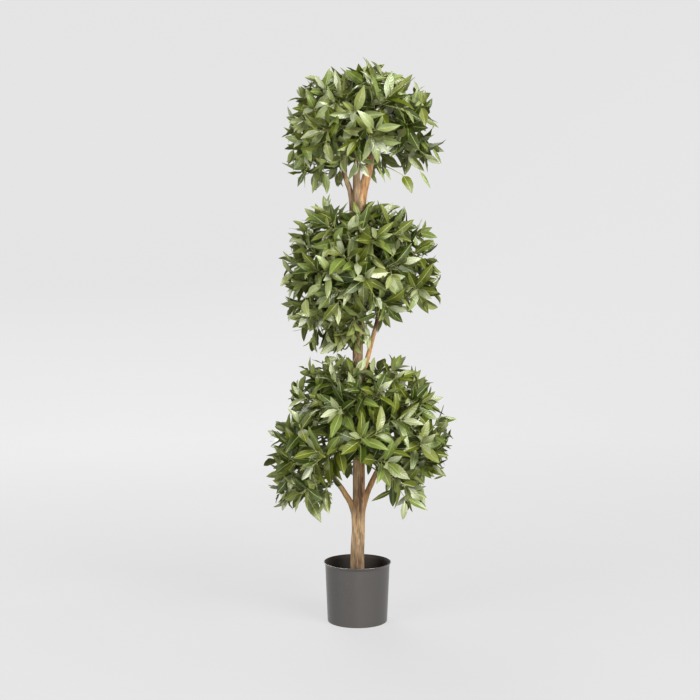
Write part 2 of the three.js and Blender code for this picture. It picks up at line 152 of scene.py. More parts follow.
# Bark, fused from the bundle: grooves and grain by height, fineness across and fineness along
BARK_VOXEL = 1.7
BARK_SWELL = 0.7
BARK_SINK = 1.5
BARK_RELIEF = [(0.75, 0.15, 0.012), (0.4, 0.42, 0.04)]
# Knots: centre, radius and height. A dimple, given by depth and radius as shares, sits in each.
KNOTS = [
    ((13, -12, 1138), 5.0, 2.2),
    ((-14, -9, 300), 6.0, 1.6),
    ((10, -14, 246), 6.0, 1.4),
    ((-8, -15, 186), 5.0, 1.2),
    ((14, 12, 215), 6.0, 1.8),
    ((-3, -14, 640), 5.0, 1.6),
    ((-10, 12, 690), 5.0, 1.6),
]
KNOT_STRETCH = (1, 1, 1.5)
KNOT_DIMPLE = (0.6, 0.4)

# Places where the bark isn't the trunk's plain one: centre, half sizes and which bark it is. Shaded bark is
# painted shade on the trunk under each ball.
DARK, PEELED_AND_LIT, SHADED = 1, 2, 3
BARK_PATCHES = [
    # The first three patches darken the trunk below each ball as painted shade.
    ((0, 0, 150), (40, 40, 100), SHADED),
    ((0, 0, 670), (24, 24, 84), SHADED),
    ((-8, -2, 1136), (24, 24, 110), SHADED),
    ((10, -20, 342), (9, 16, 54), DARK),
    # Peeled patches are pale tan bark at the forks. On the boughs they are also painted light where the balls
    # shade them.
    ((12, -20, 414), (5, 14, 22), PEELED_AND_LIT),
    ((20, -12, 326), (7, 16, 50), PEELED_AND_LIT),
    ((-30, -4, 338), (24, 14, 48), PEELED_AND_LIT),
    ((36, 2, 366), (16, 14, 44), PEELED_AND_LIT),
    ((-38, 2, 1215), (12, 14, 56), DARK),
    ((25, -10, 1160), (16, 14, 74), PEELED_AND_LIT),
    ((-6, 18, 240), (8, 14, 70), DARK),
    ((12, 14, 330), (7, 12, 40), PEELED_AND_LIT),
    ((-10, -8, 690), (7, 10, 60), DARK),
    ((30, 2, 712), (18, 12, 72), PEELED_AND_LIT),
    ((54, -2, 812), (12, 10, 38), DARK),
    ((-4, 14, 700), (7, 10, 44), DARK),
    ((6, 14, 1120), (9, 10, 50), DARK),
]
PATCH_RAGGED = 0.9
PATCH_NOISE = (0.2, 0.03, 50)

# Balls of foliage, as in the source. Their masses stand in rings: elevation, first azimuth and names.
RING = ("right", "back", "left", "front")
UPPER_RING = ("upper_right", "upper_left", "upper_front")
BALLS = [
    {
        "name": "lower_ball",
        "seed": 4517,
        "turn": 40,
        "centre": (3, 0, 474),
        "lean": 0.1,
        "half_width": 246,
        "above": (254, 2.1),
        "below": (220, 2.7),
        "bare": (-44, 2, 54),
        "peak": 0,
        "sprays": 52,
        "strays": [(212, 62, 16), (205, -32, 8), (262, 42, 0)],
        "rings": [(-14, 0, RING), (50, 30, UPPER_RING)],
    },
    {
        "name": "middle_ball",
        "seed": 5323,
        "turn": 350,
        "centre": (10, 0, 932),
        "lean": 0,
        "half_width": 212,
        "above": (192, 2.5),
        "below": (234, 2.5),
        "bare": (-56, 38, 0),
        "peak": 0,
        "sprays": 43,
        "strays": [(200, 60, 16), (216, -54, 0), (250, -60, -8), (280, -60, -8)],
        "rings": [(-12, 0, RING), (52, 30, UPPER_RING)],
    },
    {
        "name": "top_ball",
        "seed": 4919,
        "turn": 310,
        "centre": (5, 0, 1326),
        "lean": 0.04,
        "half_width": 202,
        "above": (157, 2.25),
        "below": (186, 2.7),
        "bare": (-42, 14, 8),
        "peak": 26,
        "sprays": 39,
        "strays": [(354, -16, 18), (338, -34, 8)],
        "rings": [(-8, 0, RING), (90, 0, ("crown",))],
    },
]
BALL_LIMITS = (262, 720, 1142, 1500)
LIMIT_GAP = 0.5
STEM_RADII = (4.2, 3)
STEM_LEAVING = 0.4
HUB_SHARE = 0.4
FED_HUB_SHARE = 0.62
ROOT_LIFT = 46
ROOT_STAGGER = 36
STAGGER_MIDDLE = 0.4
ROOT_MARKS = 201
TWIG_STARTS = (0.5, 0.98)
TWIG_CLEAR_FROM = 0.25
SPRAY_DEPTH = 47
SPRAY_SCATTER = 24
FRONT_SHARPNESS = 8
GOLDEN_ANGLE = pi * (3 - sqrt(5))
ANY_TURN = (0, 6.28)

# Whorls of leaves: how far back from the twig's tip, turn, leaf length and how open they are
WHORLS = [(39, 0, 80, 80), (17, 58, 76, 62), (0, 23, 57, 36)]
INNER_WHORLS = [(64, 30, 80, 86), (92, 80, 78, 92)]
SHOOT_WHORLS = [(16, 0, 71, 70), (0, 60, 52, 38)]
WHORL_LEAVES = 3
WHORL_HALF_HEIGHT = 2
WHORL_SHIFT = (-5, 5)
TIP_WHORL_SHIFT = (-2, 1)
LEAF_LEAST_SIZE = 0.9
LEAF_MORE_SIZE = 0.2
LEAF_SLENDERNESS = 0.33
LEAF_WIDEST = 0.46
LEAF_DROOP = 0.12
LEAF_SPREAD = 16
LEAF_ROLL = 30
LEAF_SPACING = 2
LEAF_CLEAR_FROM = 0.16
LEAF_TEST_STEP = 0.12
LEAF_TRIES = [(size, tilt, turn) for size in (1, 0.8) for tilt in (0, 13, 26, 39) for turn in (0, -10, 10)]
LEAF_NEAR = 190
TWIG_NEAR = 10
LIMB_MARGIN = 2.5
OUTLINE_SLACK = 1.03
TEST_SHARES = np.arange(LEAF_CLEAR_FROM, 1.001, LEAF_TEST_STEP)
TEST_SIDES = np.array([-1, -0.5, 0, 0.5, 1])
WOOD_POINTS = 20
STEM_CLEAR_FROM = 0.1

# Finer growth that only the picture has: side shoots on each twig
SHOOT_SHARES = (0.38, 0.56, 0.74)
SHOOT_SHIFT = 0.06
SHOOT_TURN = 2
SHOOT_TILT = 48
SHOOT_TILT_SPREAD = 10
SHOOT_LENGTH = (52, 78)
SHOOT_DEPTH = 22
SHOOT_BARE_SLACK = 6
SHOOT_CLEAR_FROM = 0.3
SHOOT_ROOM_BELOW = 20
SHOOT_ROOM_ABOVE = 10
LEAF_BARE_SLACK = {"lower_ball": 22, "middle_ball": 13, "top_ball": 15}
LEAF_SEED = 28889

# Wood of the balls: radii, sides and steps of the tubes, and how the twigs bow
TWIG_RADII = (2.0, 1.3)
SHOOT_RADII = (1.4, 0.9)
STEM_TUBE = (10, 14)
TWIG_TUBE = (6, 10)
SHOOT_TUBE = (5, 6)
TWIG_CURVE_POINTS = 6
SHOOT_CURVE_POINTS = 5
TWIG_SAG = 6
TWIG_SAG_SHARES = (0.3, 1)
TWIG_SAG_AT = 0.4
LONG_TWIG = 90
LONG_TWIG_END = 46
SHOOT_SAG = 2
TWIG_SEED = 4132

# Open places under and beside the balls that no whorl's leaf enters: low corner and high corner
OPEN_BOXES = {
    "lower_ball": [
        ((34, -260, 262), (76, 60, 392)),
        ((-30, -260, 262), (34, -60, 446)),
        ((-260, -260, 262), (-115, 60, 312)),
        ((186, -260, 262), (300, 60, 398)),
        ((-260, -260, 540), (-182, 60, 622)),
    ],
    "middle_ball": [
        ((34, -260, 720), (112, 60, 806)),
        ((112, -260, 720), (250, 60, 768)),
    ],
    "top_ball": [
        ((40, -260, 1142), (96, 60, 1206)),
        ((96, -260, 1142), (132, 60, 1240)),
        ((-75, -260, 1142), (-35, 60, 1194)),
    ],
}

# Shoots that stand out of the balls, some of them bare: root, end and whether they have whorls
LOOSE_SHOOTS = {
    "lower_ball": [
        ((79, -66, 425), (126, -80, 340), False),
        ((-16, 56, 476), (-26, 84, 428), True),
        ((26, 58, 476), (34, 84, 430), True),
        ((-86, -30, 632), (-118, -40, 662), True),
        ((-14, -44, 620), (-30, -60, 676), True),
        ((-20, 30, 636), (-36, 44, 690), True),
        ((-12, -24, 640), (-26, -32, 684), True),
        ((16, 34, 620), (24, 44, 672), True),
        ((128, -30, 560), (178, -50, 596), True),
    ],
    "middle_ball": [
        ((-80, -20, 1010), (-109, -30, 1066), True),
        ((-92, -20, 990), (-132, -34, 1040), True),
        ((-58, -50, 812), (-52, -84, 764), True),
        ((-24, 24, 808), (-30, 32, 768), True),
        ((128, -24, 982), (176, -40, 970), True),
    ],
    "top_ball": [
        ((72, -50, 1212), (116, -70, 1187), False),
        ((122, -36, 1284), (172, -52, 1244), True),
        ((-108, -30, 1236), (-138, -50, 1198), True),
    ],
}
LOOSE_ROOM = 60

# Single leaves that stand out: root, tip, whether they are young and width as a share of length
SINGLE_LEAVES = {
    "top_ball": [
        ((40, -72, 1397), (21, -92, 1481), False, 0.32),
        ((181, -30, 1259), (227, -46, 1273), True, 0.24),
        ((116, -70, 1186), (141, -84, 1135), False, 0.44),
        ((-87, -58, 1197), (-80, -66, 1137), False, 0.36),
        ((194, -40, 1263), (219, -52, 1217), False, 0.15),
        ((161, -60, 1200), (189, -70, 1152), False, 0.15),
        ((51, -80, 1208), (71, -90, 1163), False, 0.15),
        ((66, -84, 1205), (86, -92, 1168), False, 0.20),
    ],
    "middle_ball": [
        ((-34, -96, 764), (-54, -104, 726), False, 0.36),
        ((-22, -98, 777), (24, -106, 752), True, 0.30),
        ((-54, -90, 753), (-97, -96, 722), True, 0.34),
        ((-171, -20, 958), (-198, -26, 992), False, 0.15),
        ((-163, -30, 841), (-192, -36, 868), False, 0.10),
        ((-138, -60, 820), (-187, -70, 815), False, 0.16),
        ((-168, -30, 934), (-205, -40, 898), False, 0.42),
    ],
    "lower_ball": [
        ((-51, -60, 713), (-93, -64, 695), True, 0.34),
        ((-193, -60, 498), (-237, -66, 520), True, 0.36),
        ((201, -40, 388), (230, -46, 399), False, 0.14),
        ((-138, -110, 368), (-94, -124, 288), False, 0.34),
        ((97, -78, 368), (35, -88, 337), False, 0.18),
        ((123, -80, 339), (118, -84, 287), True, 0.38),
        ((128, -80, 345), (183, -90, 313), False, 0.30),
        ((131, -76, 363), (183, -80, 345), False, 0.30),
        ((89, -72, 407), (74, -80, 360), False, 0.36),
    ],
}
SINGLE_TONE = 2
SINGLE_FACING = np.array([0.15, -1.0, 0.25])

# Leaf blades: rows along the blade, columns across it and where these lie, and the rib and petiole
BLADE_ROWS = 8
BLADE_ROW_POWER = 0.92
BLADE_SHARES = np.linspace(0, 1, BLADE_ROWS) ** BLADE_ROW_POWER
BLADE_POWERS = (0.8, 1.05)
BLADE_EDGE = (0.9, 0.1)
BLADE_THICKNESS = 0.6
BLADE_COLUMN = 0.55
BLADE_ACROSS = (0, 0.25, 0.48, 0.52, 0.75, 1)
RIB_COLUMN = 2
BLADE, UNDERSIDE, RIB = 0, 1, 2
UNDERSIDE_TURN = [0, 3, 2, 1]
RIB_HALF_WIDTHS = (1.2, 0.3)
RIB_LEAF_LENGTH = 90
RIB_MOST = 0.5
PETIOLE_SHARE = 0.09
PETIOLE_OVERLAP = 1.25
PETIOLE_RADIUS = 0.9
PETIOLE_DROP = 0.3
PETIOLE_SIDES = 4
LEAST_BEND = 1e-3
TWIST_FROM = 0.2
WAVE_LAG = 1.3
LEAF_SHARP_ANGLE = 75

# How leaves vary, in the order of the draws. Angles are in degrees, and some leaves curl far more.
LEAF_RANGES = {
    "slender": (0.28, 0.37),
    "bend": (-8, 42),
    "curl": (0, 1),
    "fold": (4, 36),
    "twist": (-44, 44),
    "wave": (0.5, 2.0),
    "waves": (1.4, 3.2),
    "phase": (0, 2 * pi),
}
CURL_SHARE = 0.16
CURL_BEND = 34

# Leaf colours: grown leaves from dark to light, then young ones, undersides and ribs
GROWN = [
    (0.030, 0.044, 0.004),
    (0.070, 0.084, 0.006),
    (0.088, 0.117, 0.020),
    (0.123, 0.138, 0.031),
    (0.137, 0.165, 0.051),
]
YOUNG = [(0.155, 0.172, 0.082), (0.180, 0.198, 0.122)]
UNDERSIDES = [(0.136, 0.155, 0.048), (0.190, 0.209, 0.100)]
RIBS = [(0.240, 0.256, 0.110), (0.310, 0.328, 0.170)]
# Colours of each kind of leaf face, with its range of roughness and the sheen of each colour
LEAF_KINDS = {
    "grown": (GROWN, (0.33, 0.48), (0.30, 0.45, 0.70, 0.90, 1.0)),
    "young": (YOUNG, (0.35, 0.50), (0.9, 0.9)),
    "under": (UNDERSIDES, (0.58, 0.72), (0.35, 0.35)),
    "rib": (RIBS, (0.45, 0.60), (0.4, 0.4)),
}
# A spray's tone is one of the ball's first few grown colours, and its leaves stray from it by one at most.
# The lower balls get fewer and darker colours as painted shade.
LEAF_TONES_SHADED_LOW = {"lower_ball": 2.6, "middle_ball": 4.4, "top_ball": 5.0}
YOUNG_SHARE = 0.40
PALE_YOUNG_SHARE = 0.4
VEIN_ROWS = 9.0
VEIN_SLANT = 2.4

# Barks by their colours in the grooves, between and on the ridges
TRUNK_BARKS = {
    "trunk_bark": ((0.090, 0.052, 0.024), (0.222, 0.148, 0.079), (0.350, 0.258, 0.163)),
    "dark_bark": ((0.035, 0.018, 0.012), (0.105, 0.060, 0.038), (0.230, 0.150, 0.090)),
    # Peeled bark is pale tan bark, and it is also painted light on the boughs in the balls' shade.
    "peeled_and_lit_bark": ((0.125, 0.062, 0.024), (0.245, 0.138, 0.060), (0.390, 0.260, 0.136)),
    # The shaded bark is the trunk's bark made darker as painted shade.
    "shaded_bark": ((0.052, 0.031, 0.015), (0.128, 0.086, 0.048), (0.214, 0.158, 0.100)),
}
TWIG_BARKS = {
    "stem_bark": ((0.050, 0.030, 0.014), (0.110, 0.070, 0.032), (0.210, 0.140, 0.070)),
    "twig_bark": ((0.080, 0.074, 0.024), (0.150, 0.142, 0.048), (0.250, 0.235, 0.092)),
    "shoot_bark": ((0.110, 0.120, 0.036), (0.190, 0.200, 0.065), (0.280, 0.290, 0.110)),
}
BARK_STOPS = (0.36, 0.48, 0.66)
BARK_GRAIN = (240, 240, 34)
BARK_BLOTCH = (30, 30, 9)
GRAIN_SHARE = 0.45
BLOTCH_SHARE = 0.55

# Backdrop: a round floor with a small hole under the pot, the bend at its edge and the wall
STAGE_HOLE = 10
STAGE_FLOOR = 4200
STAGE_BEND = 2200
STAGE_HEIGHT = 9000
STAGE_FLOOR_RINGS = 9
STAGE_BEND_RINGS = 17
STAGE_WALL_RINGS = 6
STAGE_SIDES = 96
# The paper itself is dark. Its glow is painted light that makes it look pale and fades the plant's shadow on
# it.
STAGE_COLOUR = (0.06, 0.06, 0.0605)
# Its painted glow, weaker near the plant and stronger far off, and the distances in metres between which it
# changes
STAGE_GLOW = (0.512, 0.596)
STAGE_GLOW_SPAN = (0.5, 4.5)

# Lamps and camera in metres: a lamp's place, the point it looks at, its size and its watts
LAMPS = {
    "key": ((2.8, -3.0, 2.4), (0, 0, 0.9), 2.8, 398),
    "fill": ((-3.2, -2.6, 1.8), (0, 0, 1.0), 2.4, 208),
    "low": ((0.3, -3.6, 0.5), (0, 0, 0.4), 1.2, 38),
    "back": ((-1.6, 4.2, 3.6), (0, 0, 1.0), 3.4, 230),
}
WORLD_COLOUR = (1.0, 0.96, 0.80)
WORLD_STRENGTH = 0.03
CAMERA_PLACE = (-0.020, -3.0, 0.85)
CAMERA_AIM = (-0.020, 0, 0.729)
CAMERA_LENS = 57.75
CAMERA_SENSOR = 36
CAMERA_REACH = 60

# Curves, and when a way is too steep to be turned about the upright
CURVE_POINTS = 16
BEZIER_POINTS = 41
WAY_STEP = 0.002
NEARLY_UPRIGHT = 0.9


def unit(v):
    return v / np.linalg.norm(v)


def lerp(a, b, share):
    return a + (b - a) * share


def upright_or_side(way):
    """A way well off the given one: up, or to the right of what is itself nearly upright."""
    return np.array([1.0, 0, 0] if abs(way[2]) > NEARLY_UPRIGHT else [0, 0, 1.0])


def uneven(place, across, along, shift=0):
    """Noise at a place, stretched along the height."""
    x, y, z = place
    return noise.noise(Vector((x * across, y * across, z * along + shift)))


class Seeded:
    """A seeded run of numbers from 0 to 1, the same run as the source's."""

    def __init__(self, seed):
        self.state = seed % 2**32

    def __call__(self):
        self.state = (self.state * 1664525 + 1013904223) % 2**32
        return self.state / 2**32

    def between(self, low, high):
        return low + (high - low) * self()


class Path:
    """A curve kept as points, read by share of its length."""

    def __init__(self, points):
        self.points = np.asarray(points, float)
        steps = np.linalg.norm(np.diff(self.points, axis=0), axis=1)
        self.shares = np.concatenate([[0], np.cumsum(steps)]) / steps.sum()

    def at(self, share):
        return np.array([np.interp(share, self.shares, self.points[:, k]) for k in range(3)]).T

    def way(self, share):
        return unit(self.at(min(share + WAY_STEP, 1)) - self.at(max(share - WAY_STEP, 0)))


def through(points, per=CURVE_POINTS):
    """A centripetal Catmull-Rom curve through points, with so many points per stretch."""
    p = np.asarray(points, float)
    p = np.vstack([2 * p[0] - p[1], p, 2 * p[-1] - p[-2]])
    rows = []
    for i in range(1, len(p) - 2):
        before, a, b, after = p[i - 1 : i + 3]
        t0, t1, t2 = (np.linalg.norm(d) ** 0.5 for d in (a - before, b - a, after - b))
        leave = ((a - before) / t0 - (b - before) / (t0 + t1) + (b - a) / t1) * t1
        arrive = ((b - a) / t1 - (after - a) / (t1 + t2) + (after - b) / t2) * t1
        s = np.linspace(0, 1, per, endpoint=False)[:, None]
        square = 3 * (b - a) - 2 * leave - arrive
        cube = 2 * (a - b) + leave + arrive
        rows.append(a + leave * s + square * s**2 + cube * s**3)
    rows.append(p[-2:-1])
    return Path(np.vstack(rows))


def bezier(a, b, c):
    s = np.linspace(0, 1, BEZIER_POINTS)[:, None]
    return Path(a * (1 - s) ** 2 + 2 * b * s * (1 - s) + c * s**2)


def ring_faces(rings, sides):
    """Faces between rings of points that lie one after the other."""
    faces = []
    for start in range(0, (rings - 1) * sides, sides):
        for k in range(sides):
            n = (k + 1) % sides
            faces.append([start + k, start + n, start + sides + n, start + sides + k])
    return faces


def new_mesh(name, points, faces, kinds):
    """A smooth mesh from points in millimetres, with the number of each face's material."""
    made = bpy.data.meshes.new(name)
    made.from_pydata(points * MM, [], faces)
    made.polygons.foreach_set("material_index", kinds)
    made.polygons.foreach_set("use_smooth", [True] * len(faces))
    made.update()
    return made


class Pile:
    """Points and faces of many small things, gathered for one mesh."""

    def __init__(self):
        self.points = []
        self.faces = []
        self.kinds = []
        self.count = 0

    def add(self, points, faces, kind=0):
        points = np.asarray(points, float)
        self.points.append(points)
        self.faces.extend([[i + self.count for i in face] for face in faces])
        self.kinds.extend([kind] * len(faces))
        self.count += len(points)

    def add_tube(self, path, radii, sides, steps, kind=0):
        """A tapering limb along a path, closed at both ends. Radii may be a pair or a rule."""
        shares = np.linspace(0, 1, steps + 1)
        first_way = path.way(0)
        side = unit(np.cross(first_way, upright_or_side(first_way)))
        turns = np.linspace(0, 2 * pi, sides, endpoint=False)
        points = []
        for share, centre in zip(shares, path.at(shares)):
            way = path.way(share)
            side = unit(side - way * side.dot(way))
            other = np.cross(way, side)
            radius = radii(share) if callable(radii) else lerp(*radii, share)
            ring = np.cos(turns)[:, None] * side + np.sin(turns)[:, None] * other
            points.append(centre + radius * ring)
        faces = ring_faces(steps + 1, sides)
        faces.append(list(range(sides))[::-1])
        faces.append([steps * sides + k for k in range(sides)])
        self.add(np.vstack(points), faces, kind)

    def mesh(self, name):
        return new_mesh(name, np.vstack(self.points), self.faces, self.kinds)


def show(name, mesh, materials):
    for each in materials:
        mesh.materials.append(each)
    made = bpy.data.objects.new(name, mesh)
    scene.collection.objects.link(made)
    return made


def declare(piece, nodes):
    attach(piece, "root")
    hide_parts(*nodes)


# Materials


class Surface:
    """A material: its shader and the nodes that feed it."""

    def __init__(self, name, colour, specular):
        self.material = bpy.data.materials.new(name)
        self.material.use_nodes = True
        self.tree = self.material.node_tree
        self.shader = self.tree.nodes["Principled BSDF"]
        self.shader.inputs["Base Color"].default_value = (*colour, 1)
        self.shader.inputs["Specular IOR Level"].default_value = specular

    def feed(self, socket, value):
        self.tree.links.new(value, self.shader.inputs[socket])

    def node(self, kind, inputs):
        """A new node, its inputs set to values or linked to what other nodes give."""
        made = self.tree.nodes.new(kind)
        for key, value in inputs.items():
            if isinstance(value, bpy.types.NodeSocket):
                self.tree.links.new(value, made.inputs[key])
            else:
                made.inputs[key].default_value = value
        return made

    def noise(self, scale, detail, stretch=(1, 1, 1)):
        place = self.node("ShaderNodeTexCoord", {}).outputs["Object"]
        mapped = self.node("ShaderNodeMapping", {"Vector": place, "Scale": stretch}).outputs["Vector"]
        texture = self.node("ShaderNodeTexNoise", {"Vector": mapped, "Scale": scale, "Detail": detail})
        return texture.outputs["Fac"]

    def spread(self, value, low, high, start=0.3, end=0.7):
        inputs = {"Value": value, "From Min": start, "From Max": end, "To Min": low, "To Max": high}
        return self.node("ShaderNodeMapRange", inputs).outputs["Result"]

    def maths(self, operation, *values):
        made = self.node("ShaderNodeMath", dict(enumerate(values)))
        made.operation = operation
        return made.outputs[0]

    def ramp(self, value, colours):
        """A run of colours, each at its share of the value."""
        made = self.node("ShaderNodeValToRGB", {"Fac": value})
        stops = made.color_ramp.elements
        first, *between, last = colours.items()
        for stop, (share, colour) in zip(stops, (first, last)):
            stop.position = share
            stop.color = (*colour, 1)
        for share, colour in between:
            stops.new(share).color = (*colour, 1)
        return made.outputs["Color"]

    def bump(self, height, strength, distance):
        inputs = {"Strength": strength, "Distance": distance, "Height": height}
        self.feed("Normal", self.node("ShaderNodeBump", inputs).outputs["Normal"])


def leaf_material(name, colour, rough, sheen):
    """A plain colour with side veins and an uneven sheen."""
    leaf = Surface(name, colour, sheen)
    cloud = leaf.noise(scale=55, detail=3)
    leaf.feed("Roughness", leaf.spread(cloud, *rough))
    place = leaf.node("ShaderNodeUVMap", {})
    place.uv_map = "blade"
    apart = leaf.node("ShaderNodeSeparateXYZ", {"Vector": place.outputs["UV"]})
    aside = leaf.maths("ABSOLUTE", leaf.maths("SUBTRACT", apart.outputs["X"], 0.5))
    slant = leaf.maths("MULTIPLY", aside, VEIN_SLANT)
    rows = leaf.maths("MULTIPLY", apart.outputs["Y"], VEIN_ROWS)
    veins = leaf.maths("PINGPONG", leaf.maths("SUBTRACT", rows, slant), 0.5)
    leaf.bump(leaf.maths("ADD", veins, cloud), strength=0.5, distance=0.0012)
    return leaf.material


def bark_material(name, colours):
    """Bark with long grain and larger blotches, from its dark colour to its light one."""
    bark = Surface(name, colours[1], specular=0.3)
    grain = bark.noise(scale=1, detail=5, stretch=BARK_GRAIN)
    blotch = bark.noise(scale=1, detail=3, stretch=BARK_BLOTCH)
    blotches = bark.maths("MULTIPLY", blotch, BLOTCH_SHARE)
    mixed = bark.maths("ADD", blotches, bark.maths("MULTIPLY", grain, GRAIN_SHARE))
    bark.feed("Base Color", bark.ramp(mixed, dict(zip(BARK_STOPS, colours))))
    bark.feed("Roughness", bark.spread(grain, low=0.62, high=0.85))
    bark.bump(grain, strength=0.55, distance=0.0012)
    return bark.material


def pot_material(name, colour, specular, rough):
    """Smooth plastic with a fine grain."""
    plastic = Surface(name, colour, specular)
    cloud = plastic.noise(scale=7, detail=2)
    plastic.feed("Roughness", plastic.spread(cloud, *rough))
    plastic.bump(plastic.noise(scale=900, detail=2), strength=0.12, distance=0.0003)
    return plastic.material


def fill_material():
    """Dark crumbs."""
    filling = Surface("pot_filling", (0.030, 0.024, 0.018), specular=0.2)
    crumbs = filling.noise(scale=160, detail=5)
    colours = {0.35: (0.014, 0.011, 0.008), 0.70: (0.060, 0.046, 0.034)}
    filling.feed("Base Color", filling.ramp(crumbs, colours))
    filling.feed("Roughness", filling.spread(crumbs, low=0.85, high=0.98))
    filling.bump(crumbs, strength=0.8, distance=0.002)
    return filling.material


def paper_material():
    """Dark paper with a painted glow, weaker near the plant and stronger far off, so that it reads evenly
    pale and the plant's shadow on it fades.
    """
    paper = Surface("backdrop_paper", STAGE_COLOUR, specular=0.1)
    paper.shader.inputs["Emission Color"].default_value = (1, 1, 1, 1)
    place = paper.node("ShaderNodeTexCoord", {}).outputs["Object"]
    away = paper.node("ShaderNodeVectorMath", {0: place})
    away.operation = "LENGTH"
    paper.feed("Emission Strength", paper.spread(away.outputs["Value"], *STAGE_GLOW, *STAGE_GLOW_SPAN))
    paper.feed("Roughness", paper.spread(paper.noise(scale=3, detail=3), low=0.88, high=0.95))
    paper.bump(paper.noise(scale=300, detail=2), strength=0.05, distance=0.0005)
    return paper.material


# Limbs by the source's rule

trunk_path = through(TRUNK_PATH)
bough_paths = {name: through(bough["path"]) for name, bough in BOUGHS.items()}
# The masses that grow from the end of a limb
hosts = {"top_ball_crown": (trunk_path, TRUNK_RADII[1])}
limb_starts = []
limb_ways = []
limb_radii = []


def trunk_radius(share):
    return lerp(*TRUNK_RADII, share) + TRUNK_RADII[0] * TRUNK_FLARE * np.exp(-share / TRUNK_FLARE_SHARE)


def mark_limb(path, radius_at, steps):
    """Notes the short stretches of a limb, which twigs and leaves stay clear of."""
    marks = path.at(np.linspace(0, 1, steps + 1))
    limb_starts.extend(marks[:-1])
    limb_ways.extend(np.diff(marks, axis=0))
    limb_radii.extend(radius_at(i / steps) for i in range(steps))


mark_limb(trunk_path, trunk_radius, TRUNK_MARKS)
for name, bough in BOUGHS.items():
    hosts[name.replace("bough", "ball")] = (bough_paths[name], bough["radii"][1])
    mark_limb(bough_paths[name], lambda share: lerp(*bough["radii"], share), BOUGH_MARKS)
limb_starts = np.array(limb_starts)
limb_ways = np.array(limb_ways)
limb_radii = np.array(limb_radii)


def clear_of_limbs(points):
    """Whether points are off the trunk and the boughs."""
    gap = points[:, None, :] - limb_starts[None]
    share = np.einsum("pmk,mk->pm", gap, limb_ways) / np.einsum("mk,mk->m", limb_ways, limb_ways)
    gap = gap - np.clip(share, 0, 1)[..., None] * limb_ways[None]
    return bool((np.linalg.norm(gap, axis=2) > limb_radii + LIMB_MARGIN).all())


def direction(azimuth, elevation):
    flat = cos(elevation)
    return np.array([flat * cos(azimuth), flat * sin(azimuth), sin(elevation)])


def reach(ball, ways):
    """How far a ball's outline is from its centre, in each of the ways."""
    ways = np.atleast_2d(ways)
    upper = ways[:, 2] > 0
    height = np.where(upper, ball["above"][0], ball["below"][0])
    boxiness = np.where(upper, ball["above"][1], ball["below"][1])
    flat = np.hypot(ways[:, 0], ways[:, 1]) / ball["half_width"]
    upright = np.abs(ways[:, 2]) / height
    return (flat**boxiness + upright**boxiness) ** (-1 / boxiness)


def in_ball(ball, way, distance):
    """The point at a distance from a ball's centre, with the ball's lean."""
    point = way * distance
    point[0] += ball["lean"] * point[2]
    return point + ball["centre"]


def depth_in(ball, points):
    """How far points lie inside the ball's outline, with its slack."""
    offset = np.atleast_2d(points) - ball["centre"]
    offset[:, 0] -= ball["lean"] * offset[:, 2]
    away = np.linalg.norm(offset, axis=1)
    return OUTLINE_SLACK * reach(ball, offset / away[:, None]) - away


def masses_of(ball):
    """The masses of a ball, as they are named in the source, still without tips."""
    masses = []
    for elevation, start, names in ball["rings"]:
        for i, name in enumerate(names):
            azimuth = radians(start + 360 * i / len(names))
            way = direction(azimuth, radians(elevation))
            stagger = ROOT_STAGGER * (((2 * i) % len(names)) / len(names) - STAGGER_MIDDLE)
            masses.append({"name": f"{ball['name']}_{name}", "way": way, "stagger": stagger, "tips": []})
    return masses


def bare_below(ball, azimuth):
    """The elevation under which a ball has no sprays, so that its underside stays open."""
    below, right, front = ball["bare"]
    return radians(below + right * cos(azimuth) + front * sin(azimuth) ** FRONT_SHARPNESS)


def in_bare(ball, point, slack):
    x, y, z = point - ball["centre"]
    elevation = atan2(z, hypot(x - ball["lean"] * z, y))
    return elevation < bare_below(ball, atan2(y, x)) - radians(slack)


def in_open_box(ball, points):
    boxes = OPEN_BOXES[ball["name"]]
    return any(((points > low) & (points < high)).all(axis=1).any() for low, high in boxes)


def share_tips(ball, masses):
    """Spreads spray tips over a ball, and gives each to the mass that it is nearest to."""

    def give(way, extra, loose):
        max(masses, key=lambda mass: mass["way"].dot(way))["tips"].append((way, extra, loose))

    for i in range(ball["sprays"]):
        azimuth = radians(ball["turn"]) + i * GOLDEN_ANGLE
        elevation = asin(1 - (2 * i + 1) / ball["sprays"])
        if elevation > bare_below(ball, azimuth):
            give(direction(azimuth, elevation), ball["peak"] if i == 0 else 0, False)
    for azimuth, elevation, extra in ball["strays"]:
        give(direction(radians(azimuth), radians(elevation)), extra, True)


def stem_of(ball, mass):
    """The stem that carries a mass, from its bough's end or from the trunk, and its radii."""
    host = hosts.get(mass["name"])
    share = FED_HUB_SHARE if host else HUB_SHARE
    hub = in_ball(ball, mass["way"], share * reach(ball, mass["way"])[0])
    if host:
        path, radius = host
        root = path.at(1)
        bend = root + path.way(1) * STEM_LEAVING * np.linalg.norm(hub - root)
        return bezier(root, bend, hub), (radius, STEM_RADII[1])
    height = ball["centre"][2] + ROOT_LIFT * mass["way"][2] + mass["stagger"]
    heights = trunk_path.at(np.linspace(0, 1, ROOT_MARKS))
    root = heights[np.argmin(np.abs(heights[:, 2] - height))]
    return bezier(root, (root + hub) / 2, hub), STEM_RADII


